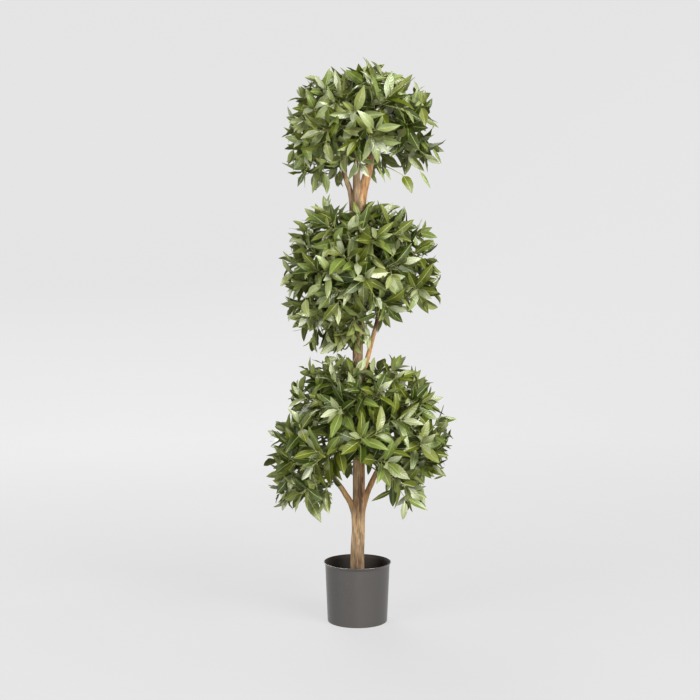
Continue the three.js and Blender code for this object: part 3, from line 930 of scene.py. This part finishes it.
class Twig:
    """A straight twig with the ways square to it."""

    def __init__(self, root, end, turn, room, loose=False):
        self.root, self.end, self.turn, self.room, self.loose = root, end, turn, room, loose
        self.way = unit(end - root)
        self.first = unit(np.cross(upright_or_side(self.way), self.way))
        self.second = np.cross(self.way, self.first)

    def outward(self, turn):
        return self.first * cos(turn) + self.second * sin(turn)

    def points(self, start=0.0):
        return lerp(self.root, self.end, np.linspace(start, 1, WOOD_POINTS)[:, None])


def half_width(share, length):
    fullness = np.minimum(share / LEAF_WIDEST, (1 - share) / (1 - LEAF_WIDEST))
    return 0.5 * length * LEAF_SLENDERNESS * fullness


def leaf_at(root, along, facing, across, length):
    """A leaf's place, with points over its blade to test it by."""
    sides = TEST_SIDES[None, :, None] * half_width(TEST_SHARES, length)[:, None, None]
    points = root + TEST_SHARES[:, None, None] * length * along + sides * across
    points = points.reshape(-1, 3)
    return dict(root=root, along=along, facing=facing, across=across, length=length, points=points)


def whorl_leaf(root, twig, turn, tilt, roll, length):
    """A leaf on a twig, turned round it, tilted off it and rolled about its own middle."""
    along = twig.way * cos(tilt) + twig.outward(turn) * sin(tilt)
    along[2] -= LEAF_DROOP
    along = unit(along)
    facing = unit(twig.way - along * twig.way.dot(along))
    across = np.cross(along, facing)
    rolled_facing = facing * cos(roll) + across * sin(roll)
    rolled_across = across * cos(roll) - facing * sin(roll)
    return leaf_at(root, along, rolled_facing, rolled_across, length)


def single_leaf(root, tip):
    """A leaf from a root to a tip, turned to the front."""
    root = np.array(root, float)
    along = unit(tip - root)
    facing = unit(SINGLE_FACING - along * SINGLE_FACING.dot(along))
    return leaf_at(root, along, facing, np.cross(along, facing), np.linalg.norm(tip - root))


def leaf_look(fine, tone, young):
    """The colour and the bends of one leaf."""
    draw = fine()
    grown_tint = min(max(tone + int(draw * 3) - 1, 0), len(GROWN) - 1)
    young_tint = len(GROWN) + (draw < PALE_YOUNG_SHARE)
    look = {trait: fine.between(*ends) for trait, ends in LEAF_RANGES.items()}
    look["bend"] += CURL_BEND * (look["curl"] < CURL_SHARE)
    return {**look, "young": young, "tint": young_tint if young else grown_tint}


class Foliage:
    """The leaves of one ball: where each lies, and how it looks."""

    PLACE = ("root", "along", "facing", "across", "length")
    ROOM = 2600

    def __init__(self, ball, limits, fine, wood_points):
        self.ball, self.limits, self.fine, self.wood_points = ball, limits, fine, wood_points
        self.fields = {field: np.zeros((self.ROOM, 3)) for field in self.PLACE[:-1]}
        self.fields["length"] = np.zeros(self.ROOM)
        self.fields["points"] = np.zeros((self.ROOM, len(TEST_SHARES) * len(TEST_SIDES), 3))
        self.looks = []

    @staticmethod
    def against(offset, leaf):
        """Whether points touch the blade of a leaf, from whose root they are offset."""
        share = (offset * leaf["along"]).sum(-1) / leaf["length"]
        near = (share > LEAF_CLEAR_FROM) & (share < 1)
        near &= np.abs((offset * leaf["facing"]).sum(-1)) < LEAF_SPACING
        sideways = np.abs((offset * leaf["across"]).sum(-1))
        return bool((near & (sideways < half_width(share, leaf["length"]) + LEAF_SPACING)).any())

    def free(self, leaf):
        """Whether a leaf is off the wood and off the other leaves."""
        wood = self.wood_points - leaf["root"]
        if self.against(wood[np.linalg.norm(wood, axis=1) < leaf["length"] + TWIG_NEAR], leaf):
            return False
        roots = self.fields["root"][: len(self.looks)]
        near = np.nonzero(np.linalg.norm(roots - leaf["root"], axis=1) < LEAF_NEAR)[0]
        if self.against(self.fields["points"][near] - leaf["root"], leaf):
            return False
        others = {field: self.fields[field][near][:, None] for field in self.PLACE}
        return not self.against(leaf["points"] - others["root"], others)

    def fits(self, leaf, twig):
        """Whether a leaf stays in the ball's space and off everything there."""
        points = leaf["points"]
        if points[:, 2].min() < self.limits[0] or points[:, 2].max() > self.limits[1]:
            return False
        if depth_in(self.ball, points).min() + twig.room < 0:
            return False
        tip = leaf["root"] + leaf["along"] * leaf["length"]
        if not twig.loose and in_bare(self.ball, tip, LEAF_BARE_SLACK[self.ball["name"]]):
            return False
        return not in_open_box(self.ball, points) and clear_of_limbs(points) and self.free(leaf)

    def keep(self, leaf, look):
        for field, value in leaf.items():
            self.fields[field][len(self.looks)] = value
        self.looks.append(look)

    def grow_whorls(self, twig, whorls, random, tone):
        """Whorls of leaves on a twig. A leaf that doesn't fit is moved a few times and then skipped."""
        for back, whorl_turn, length, tilt in whorls:
            for k in range(WHORL_LEAVES):
                turn = radians(whorl_turn) + twig.turn + (k + 0.5) * 2 * pi / WHORL_LEAVES
                turn += radians((random() - 0.5) * LEAF_SPREAD)
                opened = radians(tilt + (random() - 0.5) * LEAF_SPREAD)
                size = length * (LEAF_LEAST_SIZE + LEAF_MORE_SIZE * random())
                roll = radians((random() - 0.5) * LEAF_ROLL)
                shift = self.fine.between(*(WHORL_SHIFT if back else TIP_WHORL_SHIFT))
                root = twig.end - twig.way * (back + WHORL_HALF_HEIGHT + shift)
                for shrink, less, aside in LEAF_TRIES:
                    turned = turn + radians(aside)
                    leaf = whorl_leaf(root, twig, turned, opened - radians(less), roll, size * shrink)
                    if self.fits(leaf, twig):
                        young = back == 0 and self.fine() < YOUNG_SHARE
                        self.keep(leaf, leaf_look(self.fine, tone, young))
                        break


def grow_sprays(ball, masses):
    """The stem of each mass, and its twigs with the mass's own run of numbers."""
    stems = []
    sprays = []
    for i, mass in enumerate(masses):
        random = Seeded(ball["seed"] + i)
        stem, radii = stem_of(ball, mass)
        stems.append((stem, radii))
        for order, (way, extra, loose) in enumerate(mass["tips"]):
            scatter = (random() - 0.5) * SPRAY_SCATTER
            turn = random() * 2 * pi
            root = stem.at(lerp(*TWIG_STARTS, (order + 1) / len(mass["tips"])))
            end = in_ball(ball, way, reach(ball, way)[0] + extra - SPRAY_DEPTH + scatter)
            twig = Twig(root, end, turn, extra + max(scatter, 0), loose)
            if clear_of_limbs(twig.points(TWIG_CLEAR_FROM)):
                sprays.append((random, twig))
    return stems, sprays


def grow_shoots(ball, limits, twigs, fine):
    """Side shoots on twigs, where they stay inside the ball."""
    low = limits[0] + SHOOT_ROOM_BELOW
    high = limits[1] - SHOOT_ROOM_ABOVE
    shoots = []
    for twig in twigs:
        for j, share in enumerate(SHOOT_SHARES):
            root = lerp(twig.root, twig.end, share + fine.between(-SHOOT_SHIFT, SHOOT_SHIFT))
            turn = twig.turn + j * GOLDEN_ANGLE + fine.between(0, SHOOT_TURN)
            tilt = radians(SHOOT_TILT + fine.between(-SHOOT_TILT_SPREAD, SHOOT_TILT_SPREAD))
            way = twig.way * cos(tilt) + twig.outward(turn) * sin(tilt)
            end = root + way * fine.between(*SHOOT_LENGTH)
            shoot = Twig(root, end, fine.between(*ANY_TURN), 0)
            inside = low < end[2] < high and depth_in(ball, end)[0] > SHOOT_DEPTH
            kept_open = in_bare(ball, end, SHOOT_BARE_SLACK) or in_open_box(ball, end[None])
            if inside and not kept_open and clear_of_limbs(shoot.points(SHOOT_CLEAR_FROM)):
                shoots.append(shoot)
    return shoots


def grow_ball(ball, index):
    """Stems, twigs, side shoots and leaves of one ball."""
    masses = masses_of(ball)
    share_tips(ball, masses)
    limits = (BALL_LIMITS[index] + LIMIT_GAP, BALL_LIMITS[index + 1] - LIMIT_GAP)
    fine = Seeded(LEAF_SEED + index)
    stems, sprays = grow_sprays(ball, masses)
    twigs = [twig for _, twig in sprays]
    shoots = grow_shoots(ball, limits, twigs, fine)
    bare_shoots = []
    for root, end, leafy in LOOSE_SHOOTS[ball["name"]]:
        turn = fine.between(*ANY_TURN)
        shoot = Twig(np.array(root, float), np.array(end, float), turn, LOOSE_ROOM, True)
        (shoots if leafy else bare_shoots).append(shoot)
    wood_points = np.vstack(
        [stem.at(np.linspace(STEM_CLEAR_FROM, 1, WOOD_POINTS)) for stem, _ in stems]
        + [twig.points() for twig in twigs + shoots + bare_shoots]
    )
    foliage = Foliage(ball, limits, fine, wood_points)
    for root, tip, young, slender in SINGLE_LEAVES[ball["name"]]:
        look = leaf_look(fine, SINGLE_TONE, young)
        foliage.keep(single_leaf(root, tip), {**look, "slender": slender})
    shaded_tones = LEAF_TONES_SHADED_LOW[ball["name"]]
    for random, twig in sprays:
        foliage.grow_whorls(twig, WHORLS, random, int(fine() * shaded_tones))
    for shoot in shoots:
        foliage.grow_whorls(shoot, SHOOT_WHORLS, fine, int(fine() * shaded_tones))
    # Inner leaves take the darkest grown colour, painted shade deep in each ball.
    for twig in twigs:
        foliage.grow_whorls(twig, INNER_WHORLS, fine, 0)
    return masses, stems, twigs, shoots + bare_shoots, foliage


# Meshes


def leaf_points(foliage, look):
    """The points of a ball's leaves: top, underside and petiole of each."""
    n = len(foliage.looks)
    root, along, facing, flat = (foliage.fields[field][:n, None] for field in foliage.PLACE[:-1])
    length = foliage.fields["length"][:n, None, None]
    bend, fold, twist = (np.radians(look[trait]) for trait in ("bend", "fold", "twist"))
    bend = np.where(np.abs(bend) < LEAST_BEND, LEAST_BEND, bend)
    blade = BLADE_SHARES[None, :, None]

    def spine(share):
        """The middle line at a share of the leaf's length, and the way it faces there."""
        angle = bend * (0.5 - share)
        run = (np.sin(bend * 0.5) - np.sin(angle)) / bend * length
        rise = (np.cos(angle) - np.cos(bend * 0.5)) / bend * length
        return root + run * along + rise * facing, np.cos(angle) * facing - np.sin(angle) * along

    centre, face = spine(PETIOLE_SHARE + (1 - PETIOLE_SHARE) * blade)
    turn = twist * (blade - TWIST_FROM)
    across = np.cos(turn) * flat + np.sin(turn) * face
    face = np.cos(turn) * face - np.sin(turn) * flat
    rising, falling = BLADE_POWERS
    outline = blade**rising * (1 - blade) ** falling
    outline = outline / outline.max()
    width = 0.5 * look["slender"] * length * outline + lerp(*BLADE_EDGE, blade)
    rib = lerp(*RIB_HALF_WIDTHS, blade) * (length / RIB_LEAF_LENGTH)
    rib = np.minimum(rib, width * RIB_MOST) / width
    edge = np.ones_like(width)
    wave_turn = 2 * pi * look["waves"] * blade + look["phase"]
    top = []
    under = []
    for side in (-edge, -BLADE_COLUMN * edge, -rib, rib, BLADE_COLUMN * edge, edge):
        wave = look["wave"] * np.sin(wave_turn + WAVE_LAG * np.sign(side)) * side**2 * outline
        lift = np.abs(side) * width * np.sin(fold) + wave
        place = centre + side * width * np.cos(fold) * across + lift * face
        thick = 0.5 * BLADE_THICKNESS * (1 - side**2) * face
        top.append(place + thick)
        under.append(place - thick)
    petiole = []
    for share in (0, PETIOLE_SHARE * PETIOLE_OVERLAP):
        middle, up = spine(share)
        for corner in range(PETIOLE_SIDES):
            around = 2 * pi * (corner + 0.5) / PETIOLE_SIDES
            ring = PETIOLE_RADIUS * cos(around) * flat + PETIOLE_RADIUS * sin(around) * up
            petiole.append(middle + ring - PETIOLE_DROP * up)
    layers = [np.stack(layer, axis=2).reshape(n, -1, 3) for layer in (top, under[1:-1])]
    return np.concatenate(layers + petiole, axis=1)


def grid_faces(grid):
    """Faces between neighbours in a grid of numbered points."""
    corners = (grid[:-1, :-1], grid[:-1, 1:], grid[1:, 1:], grid[1:, :-1])
    return np.stack(corners, axis=-1).reshape(-1, 4)


def leaf_faces():
    """The faces of one leaf by their points, what they show and where their corners lie on the blade."""
    columns = len(BLADE_ACROSS)
    top = np.arange(BLADE_ROWS * columns).reshape(BLADE_ROWS, columns)
    inner = top.size + np.arange(BLADE_ROWS * (columns - 2)).reshape(BLADE_ROWS, -1)
    under = np.hstack([top[:, :1], inner, top[:, -1:]])
    petiole = top.size + inner.size + np.array(ring_faces(2, PETIOLE_SIDES))
    upper = grid_faces(top)
    lower = grid_faces(under)[:, UNDERSIDE_TURN]
    places = np.stack(np.meshgrid(BLADE_ACROSS, BLADE_SHARES), axis=-1).reshape(-1, 2)
    stalk_places = np.full((PETIOLE_SIDES, 4, 2), (0.5, 0))
    is_rib = np.arange(len(upper)) % (columns - 1) == RIB_COLUMN
    kinds = [np.where(is_rib, RIB, BLADE), np.where(is_rib, RIB, UNDERSIDE), np.full(PETIOLE_SIDES, RIB)]
    corners = np.vstack([places[upper], places[upper][:, UNDERSIDE_TURN], stalk_places])
    return np.vstack([upper, lower, petiole]), np.concatenate(kinds), corners


def leaf_mesh(name, foliage):
    """All leaves of a ball in one mesh."""
    looks = foliage.looks
    look = {trait: np.array([each[trait] for each in looks])[:, None, None] for trait in looks[0]}
    points = leaf_points(foliage, look)
    faces, kinds, corners = leaf_faces()
    firsts = np.arange(len(looks))[:, None, None] * points.shape[1]
    all_faces = (faces + firsts).reshape(-1, 4).tolist()
    young = look["young"].ravel().astype(int)
    first_underside = len(GROWN) + len(YOUNG)
    first_rib = first_underside + len(UNDERSIDES)
    slots = np.stack([look["tint"].ravel(), first_underside + young, first_rib + young])
    made = new_mesh(name, points.reshape(-1, 3), all_faces, slots[kinds].T.ravel())
    uv = made.uv_layers.new(name="blade")
    uv.data.foreach_set("uv", np.tile(corners.ravel(), len(looks)))
    made.set_sharp_from_angle(angle=radians(LEAF_SHARP_ANGLE))
    return made


def twig_mesh(name, stems, twigs, shoots):
    """Stems, twigs and shoots of one ball, each with the bark of its kind."""
    stem_kind, twig_kind, shoot_kind = range(len(TWIG_BARKS))
    pile = Pile()
    for stem, radii in stems:
        pile.add_tube(stem, radii, *STEM_TUBE, stem_kind)
    wobble = Seeded(TWIG_SEED)
    for twig in twigs:
        bow = twig.outward(wobble.between(*ANY_TURN)) * TWIG_SAG * wobble.between(*TWIG_SAG_SHARES)
        points = [twig.root, lerp(twig.root, twig.end, TWIG_SAG_AT) + bow]
        if np.linalg.norm(twig.end - twig.root) > LONG_TWIG:
            points.append(twig.end - twig.way * LONG_TWIG_END)
        path = through([*points, twig.end], TWIG_CURVE_POINTS)
        pile.add_tube(path, TWIG_RADII, *TWIG_TUBE, twig_kind)
    for shoot in shoots:
        bow = shoot.outward(wobble.between(*ANY_TURN)) * SHOOT_SAG
        middle = lerp(shoot.root, shoot.end, 0.5) + bow
        path = through([shoot.root, middle, shoot.end], SHOOT_CURVE_POINTS)
        pile.add_tube(path, SHOOT_RADII, *SHOOT_TUBE, shoot_kind)
    return pile.mesh(name)


def add_strand(pile, draw, angle, offset, size):
    """One stem of the trunk's bundle, which drifts and swells on its way up."""
    drift = draw.between(-STRAND_DRIFT, STRAND_DRIFT)
    beat = draw.between(*STRAND_BEATS)
    start = draw.between(*ANY_TURN)
    shares = np.linspace(0, 1, STRAND_STEPS + 1)
    radius = trunk_radius(shares)
    turn = np.radians(angle + STRAND_TURN * shares + drift * np.sin(2 * pi * beat * shares + start))
    points = trunk_path.at(shares)
    points[:, 0] += np.cos(turn) * offset * radius
    points[:, 1] += np.sin(turn) * offset * radius

    def radius_at(share):
        swell = sin(2 * pi * STRAND_SWELLS * beat * share + start)
        return size * trunk_radius(share) * (1 + STRAND_SWELL * swell)

    pile.add_tube(Path(points), radius_at, STRAND_SIDES, STRAND_STEPS)


def add_bough(pile, name):
    """A bough with its collar, and the stem by which it runs down the trunk."""
    base, tip = BOUGHS[name]["radii"]
    collar, fade = BOUGH_COLLAR

    def radius_at(share):
        return lerp(base, tip, share) * (1 + collar * exp(-share / fade))

    pile.add_tube(bough_paths[name], radius_at, STRAND_SIDES, BOUGH_STEPS)
    if name in BOUGH_ROOTS:
        root_radii = (BOUGH_ROOT_TAPER * base, base)
        pile.add_tube(through(BOUGH_ROOTS[name]), root_radii, STRAND_SIDES, BOUGH_STEPS)


def fused(pile):
    """A pile of tubes fused in one skin."""
    rough = show("bark_rough", pile.mesh("bark_rough"), [])
    remesh = rough.modifiers.new("skin", "REMESH")
    remesh.mode = "VOXEL"
    remesh.voxel_size = BARK_VOXEL * MM
    skin = bpy.data.meshes.new_from_object(rough.evaluated_get(bpy.context.evaluated_depsgraph_get()))
    bpy.data.objects.remove(rough)
    return skin


def read_rows(items, field):
    """A field of a mesh's items, one row of three numbers each."""
    flat = np.empty(len(items) * 3)
    items.foreach_get(field, flat)
    return flat.reshape(-1, 3)


def carve_bark(skin):
    """Grooves, grain and knots, and the flat foot on the filling."""
    places = read_rows(skin.vertices, "co") / MM
    ways = read_rows(skin.vertex_normals, "vector")
    relief = np.array([sum(h * uneven(place, *fineness) for h, *fineness in BARK_RELIEF) for place in places])
    depth, width = KNOT_DIMPLE
    for centre, size, height in KNOTS:
        away = np.linalg.norm((places - centre) / KNOT_STRETCH, axis=1) / size
        relief += height * np.exp(-(away**2)) - depth * height * np.exp(-((away / width) ** 2))
    places = places + ways * (relief + BARK_SWELL)[:, None]
    places[:, 2] = np.maximum(places[:, 2], FILL_TOP + SEAT_GAP - BARK_SINK)
    skin.vertices.foreach_set("co", (places * MM).reshape(-1))
    skin.polygons.foreach_set("use_smooth", np.ones(len(skin.polygons), bool))


def patch_bark(skin):
    """Ragged patches of other bark."""
    middles = read_rows(skin.polygons, "center") / MM
    ragged = np.array([uneven(middle, *PATCH_NOISE) for middle in middles])
    kinds = np.zeros(len(middles), int)
    for centre, sizes, kind in BARK_PATCHES:
        away = np.linalg.norm((middles - centre) / sizes, axis=1)
        kinds[away + PATCH_RAGGED * ragged < 1] = kind
    skin.polygons.foreach_set("material_index", kinds)


def bark_mesh():
    """Trunk and boughs in one skin, fused from a bundle of stems."""
    pile = Pile()
    for k, strand in enumerate(STRANDS):
        add_strand(pile, Seeded(STRAND_SEED + k), *strand)
    pile.add_tube(trunk_path, lambda share: CORE_SHARE * trunk_radius(share), STRAND_SIDES, STRAND_STEPS)
    for name in BOUGHS:
        add_bough(pile, name)
    skin = fused(pile)
    carve_bark(skin)
    patch_bark(skin)
    skin.update()
    skin.name = "bark"
    return skin


def turned_mesh(name, outline, sides):
    """A turned body: its outline is given as radius and height, from the axis below to the axis above."""
    turns = np.linspace(0, 2 * pi, sides, endpoint=False)
    points = [(r * cos(t), r * sin(t), height) for r, height in outline for t in turns]
    pile = Pile()
    pile.add(points, ring_faces(len(outline), sides))
    return pile.mesh(name)


def arc(centre, radius, start, end, steps):
    """Points of a round edge, as radius and height."""
    marks = np.radians(np.linspace(start, end, steps))
    return [(centre[0] + radius * cos(a), centre[1] + radius * sin(a)) for a in marks]


def inside_radius(height):
    """The radius of the pot's inside, below the flare."""
    share = (height - POT_FLOOR) / (POT_HEIGHT - POT_FLARE_HEIGHT - POT_FLOOR)
    return lerp(POT_BASE_DIAMETER, POT_BODY_DIAMETER, share) / 2 - POT_WALL


def pot_mesh():
    """The pot's wall and floor. The inside has a material of its own, darker and duller than the outside:
    painted shade.
    """
    base, body, rim = (across / 2 for across in (POT_BASE_DIAMETER, POT_BODY_DIAMETER, POT_RIM_DIAMETER))
    half = POT_WALL / 2
    flare_foot = POT_HEIGHT - POT_FLARE_HEIGHT
    recess = base - POT_FOOT_WIDTH - POT_RECESS_SLOPE
    outline = [
        (AXIS, POT_RECESS),
        (recess, POT_RECESS),
        (recess + POT_RECESS_SLOPE / 2, POT_RECESS / 2),
        (recess + POT_RECESS_SLOPE, 0),
    ]
    outline += arc((base - POT_FOOT_EDGE, POT_FOOT_EDGE), POT_FOOT_EDGE, -90, 0, 7)
    for height in np.linspace(POT_FIRST_RING, flare_foot, POT_OUTSIDE_RINGS):
        share = (height - POT_FOOT_EDGE) / (flare_foot - POT_FOOT_EDGE)
        outline.append((lerp(base, body, share), height))
    flare = []
    for share in np.linspace(*POT_FLARE_SHARES, POT_FLARE_RINGS):
        radius = lerp(body, rim, share**POT_FLARE_POWER)
        flare.append((radius, lerp(flare_foot, POT_HEIGHT - half, share)))
    rim_middle = (rim - half, POT_HEIGHT - half)
    outline += flare + arc(rim_middle, half, 0, 90, 6)
    inside_from = len(outline)
    outline += arc(rim_middle, half, 108, 180, 5)
    outline += [(radius - POT_WALL, height) for radius, height in flare[::-1]]
    outline += [(inside_radius(h), h) for h in np.linspace(flare_foot, POT_FLOOR, POT_INSIDE_RINGS)]
    outline.append((AXIS, POT_FLOOR))
    made = turned_mesh("pot", outline, POT_SIDES)
    made.set_sharp_from_angle(angle=radians(POT_SHARP_ANGLE))
    segment = np.arange(len(made.polygons)) // POT_SIDES
    made.polygons.foreach_set("material_index", (segment >= inside_from).astype(int))
    return made


def fill_mesh():
    """The filling: a little clear of the pot, and lumpy on top."""

    def edge(height):
        return inside_radius(height) - FILL_CLEAR

    foot = POT_FLOOR + FILL_CLEAR
    top = edge(FILL_TOP)
    outline = [(AXIS, foot), (edge(POT_FLOOR), foot)]
    outline += [(edge(h), h) for h in np.linspace(FILL_FIRST_RING, FILL_TOP, FILL_SIDE_RINGS)]
    outline += [(lerp(top, AXIS, i / FILL_RINGS), FILL_TOP) for i in range(1, FILL_RINGS + 1)]
    made = turned_mesh("filling", outline, FILL_SIDES)
    for vertex in made.vertices:
        x, y, z = vertex.co / MM
        if z > FILL_TOP - FILL_EDGE and hypot(x, y) < top - FILL_EDGE:
            lumps = sum(share * uneven((x, y, 0), fineness, 0, at) for share, fineness, at in FILL_LUMPS)
            vertex.co.z += (lumps - FILL_SINK) * FILL_RELIEF * MM
    made.update()
    return made


def backdrop_mesh():
    """A round floor that curves up into a wall all round."""
    wall = STAGE_FLOOR + STAGE_BEND
    outline = [(r, 0) for r in np.linspace(STAGE_HOLE, STAGE_FLOOR, STAGE_FLOOR_RINGS)]
    outline += arc((STAGE_FLOOR, STAGE_BEND), STAGE_BEND, -90, 0, STAGE_BEND_RINGS)[1:]
    outline += [(wall, h) for h in np.linspace(STAGE_BEND, STAGE_HEIGHT, STAGE_WALL_RINGS)[1:]]
    return turned_mesh("backdrop", outline, STAGE_SIDES)


# Build the plant

leaf_materials = [
    leaf_material(f"leaf_{kind}_{i}", colour, rough, sheens[i])
    for kind, (colours, rough, sheens) in LEAF_KINDS.items()
    for i, colour in enumerate(colours)
]
trunk_materials = [bark_material(name, colours) for name, colours in TRUNK_BARKS.items()]
twig_materials = [bark_material(name, colours) for name, colours in TWIG_BARKS.items()]

for index, ball in enumerate(BALLS):
    masses, stems, twigs, shoots, foliage = grow_ball(ball, index)
    nodes = [mass["name"] for mass in masses]
    leaves_name = f"{ball['name']}_leaves"
    leaves = show(leaves_name, leaf_mesh(leaves_name, foliage), leaf_materials)
    declare(leaves, nodes)
    wood_name = f"{ball['name']}_twigs"
    wood = show(wood_name, twig_mesh(wood_name, stems, twigs, shoots), twig_materials)
    declare(wood, nodes)

bark = show("trunk_and_boughs", bark_mesh(), trunk_materials)
declare(bark, ["trunk", *BOUGHS])

pot_outside = pot_material("pot_plastic", (0.031, 0.028, 0.0255), specular=1.0, rough=(0.26, 0.32))
# The inside is darker than the outside as painted shade.
shaded_pot_inside = pot_material("shaded_pot_inside", (0.022, 0.018, 0.015), specular=0.15, rough=(0.60, 0.70))
pot = show("pot_shell", pot_mesh(), [pot_outside, shaded_pot_inside])
declare(pot, ["pot"])
filling = show("pot_filling", fill_mesh(), [fill_material()])
declare(filling, ["pot_fill"])

# Studio

backdrop = show("backdrop", backdrop_mesh(), [paper_material()])

world = bpy.data.worlds.new("studio")
scene.world = world
world.use_nodes = True
background = world.node_tree.nodes["Background"]
background.inputs["Color"].default_value = (*WORLD_COLOUR, 1)
background.inputs["Strength"].default_value = WORLD_STRENGTH


def stand(name, data, place, aim):
    """Puts a lamp or the camera in its place, turned to the point it looks at."""
    made = bpy.data.objects.new(name, data)
    scene.collection.objects.link(made)
    made.location = place
    made.rotation_euler = (Vector(aim) - Vector(place)).to_track_quat("-Z", "Y").to_euler()
    return made


for name, (place, aim, size, watts) in LAMPS.items():
    light = bpy.data.lights.new(name, "AREA")
    light.size = size
    light.energy = watts
    stand(name, light, place, aim).visible_camera = False

camera_data = bpy.data.cameras.new("camera")
camera_data.lens = CAMERA_LENS
camera_data.sensor_width = CAMERA_SENSOR
camera_data.clip_end = CAMERA_REACH
scene.camera = stand("camera", camera_data, CAMERA_PLACE, CAMERA_AIM)
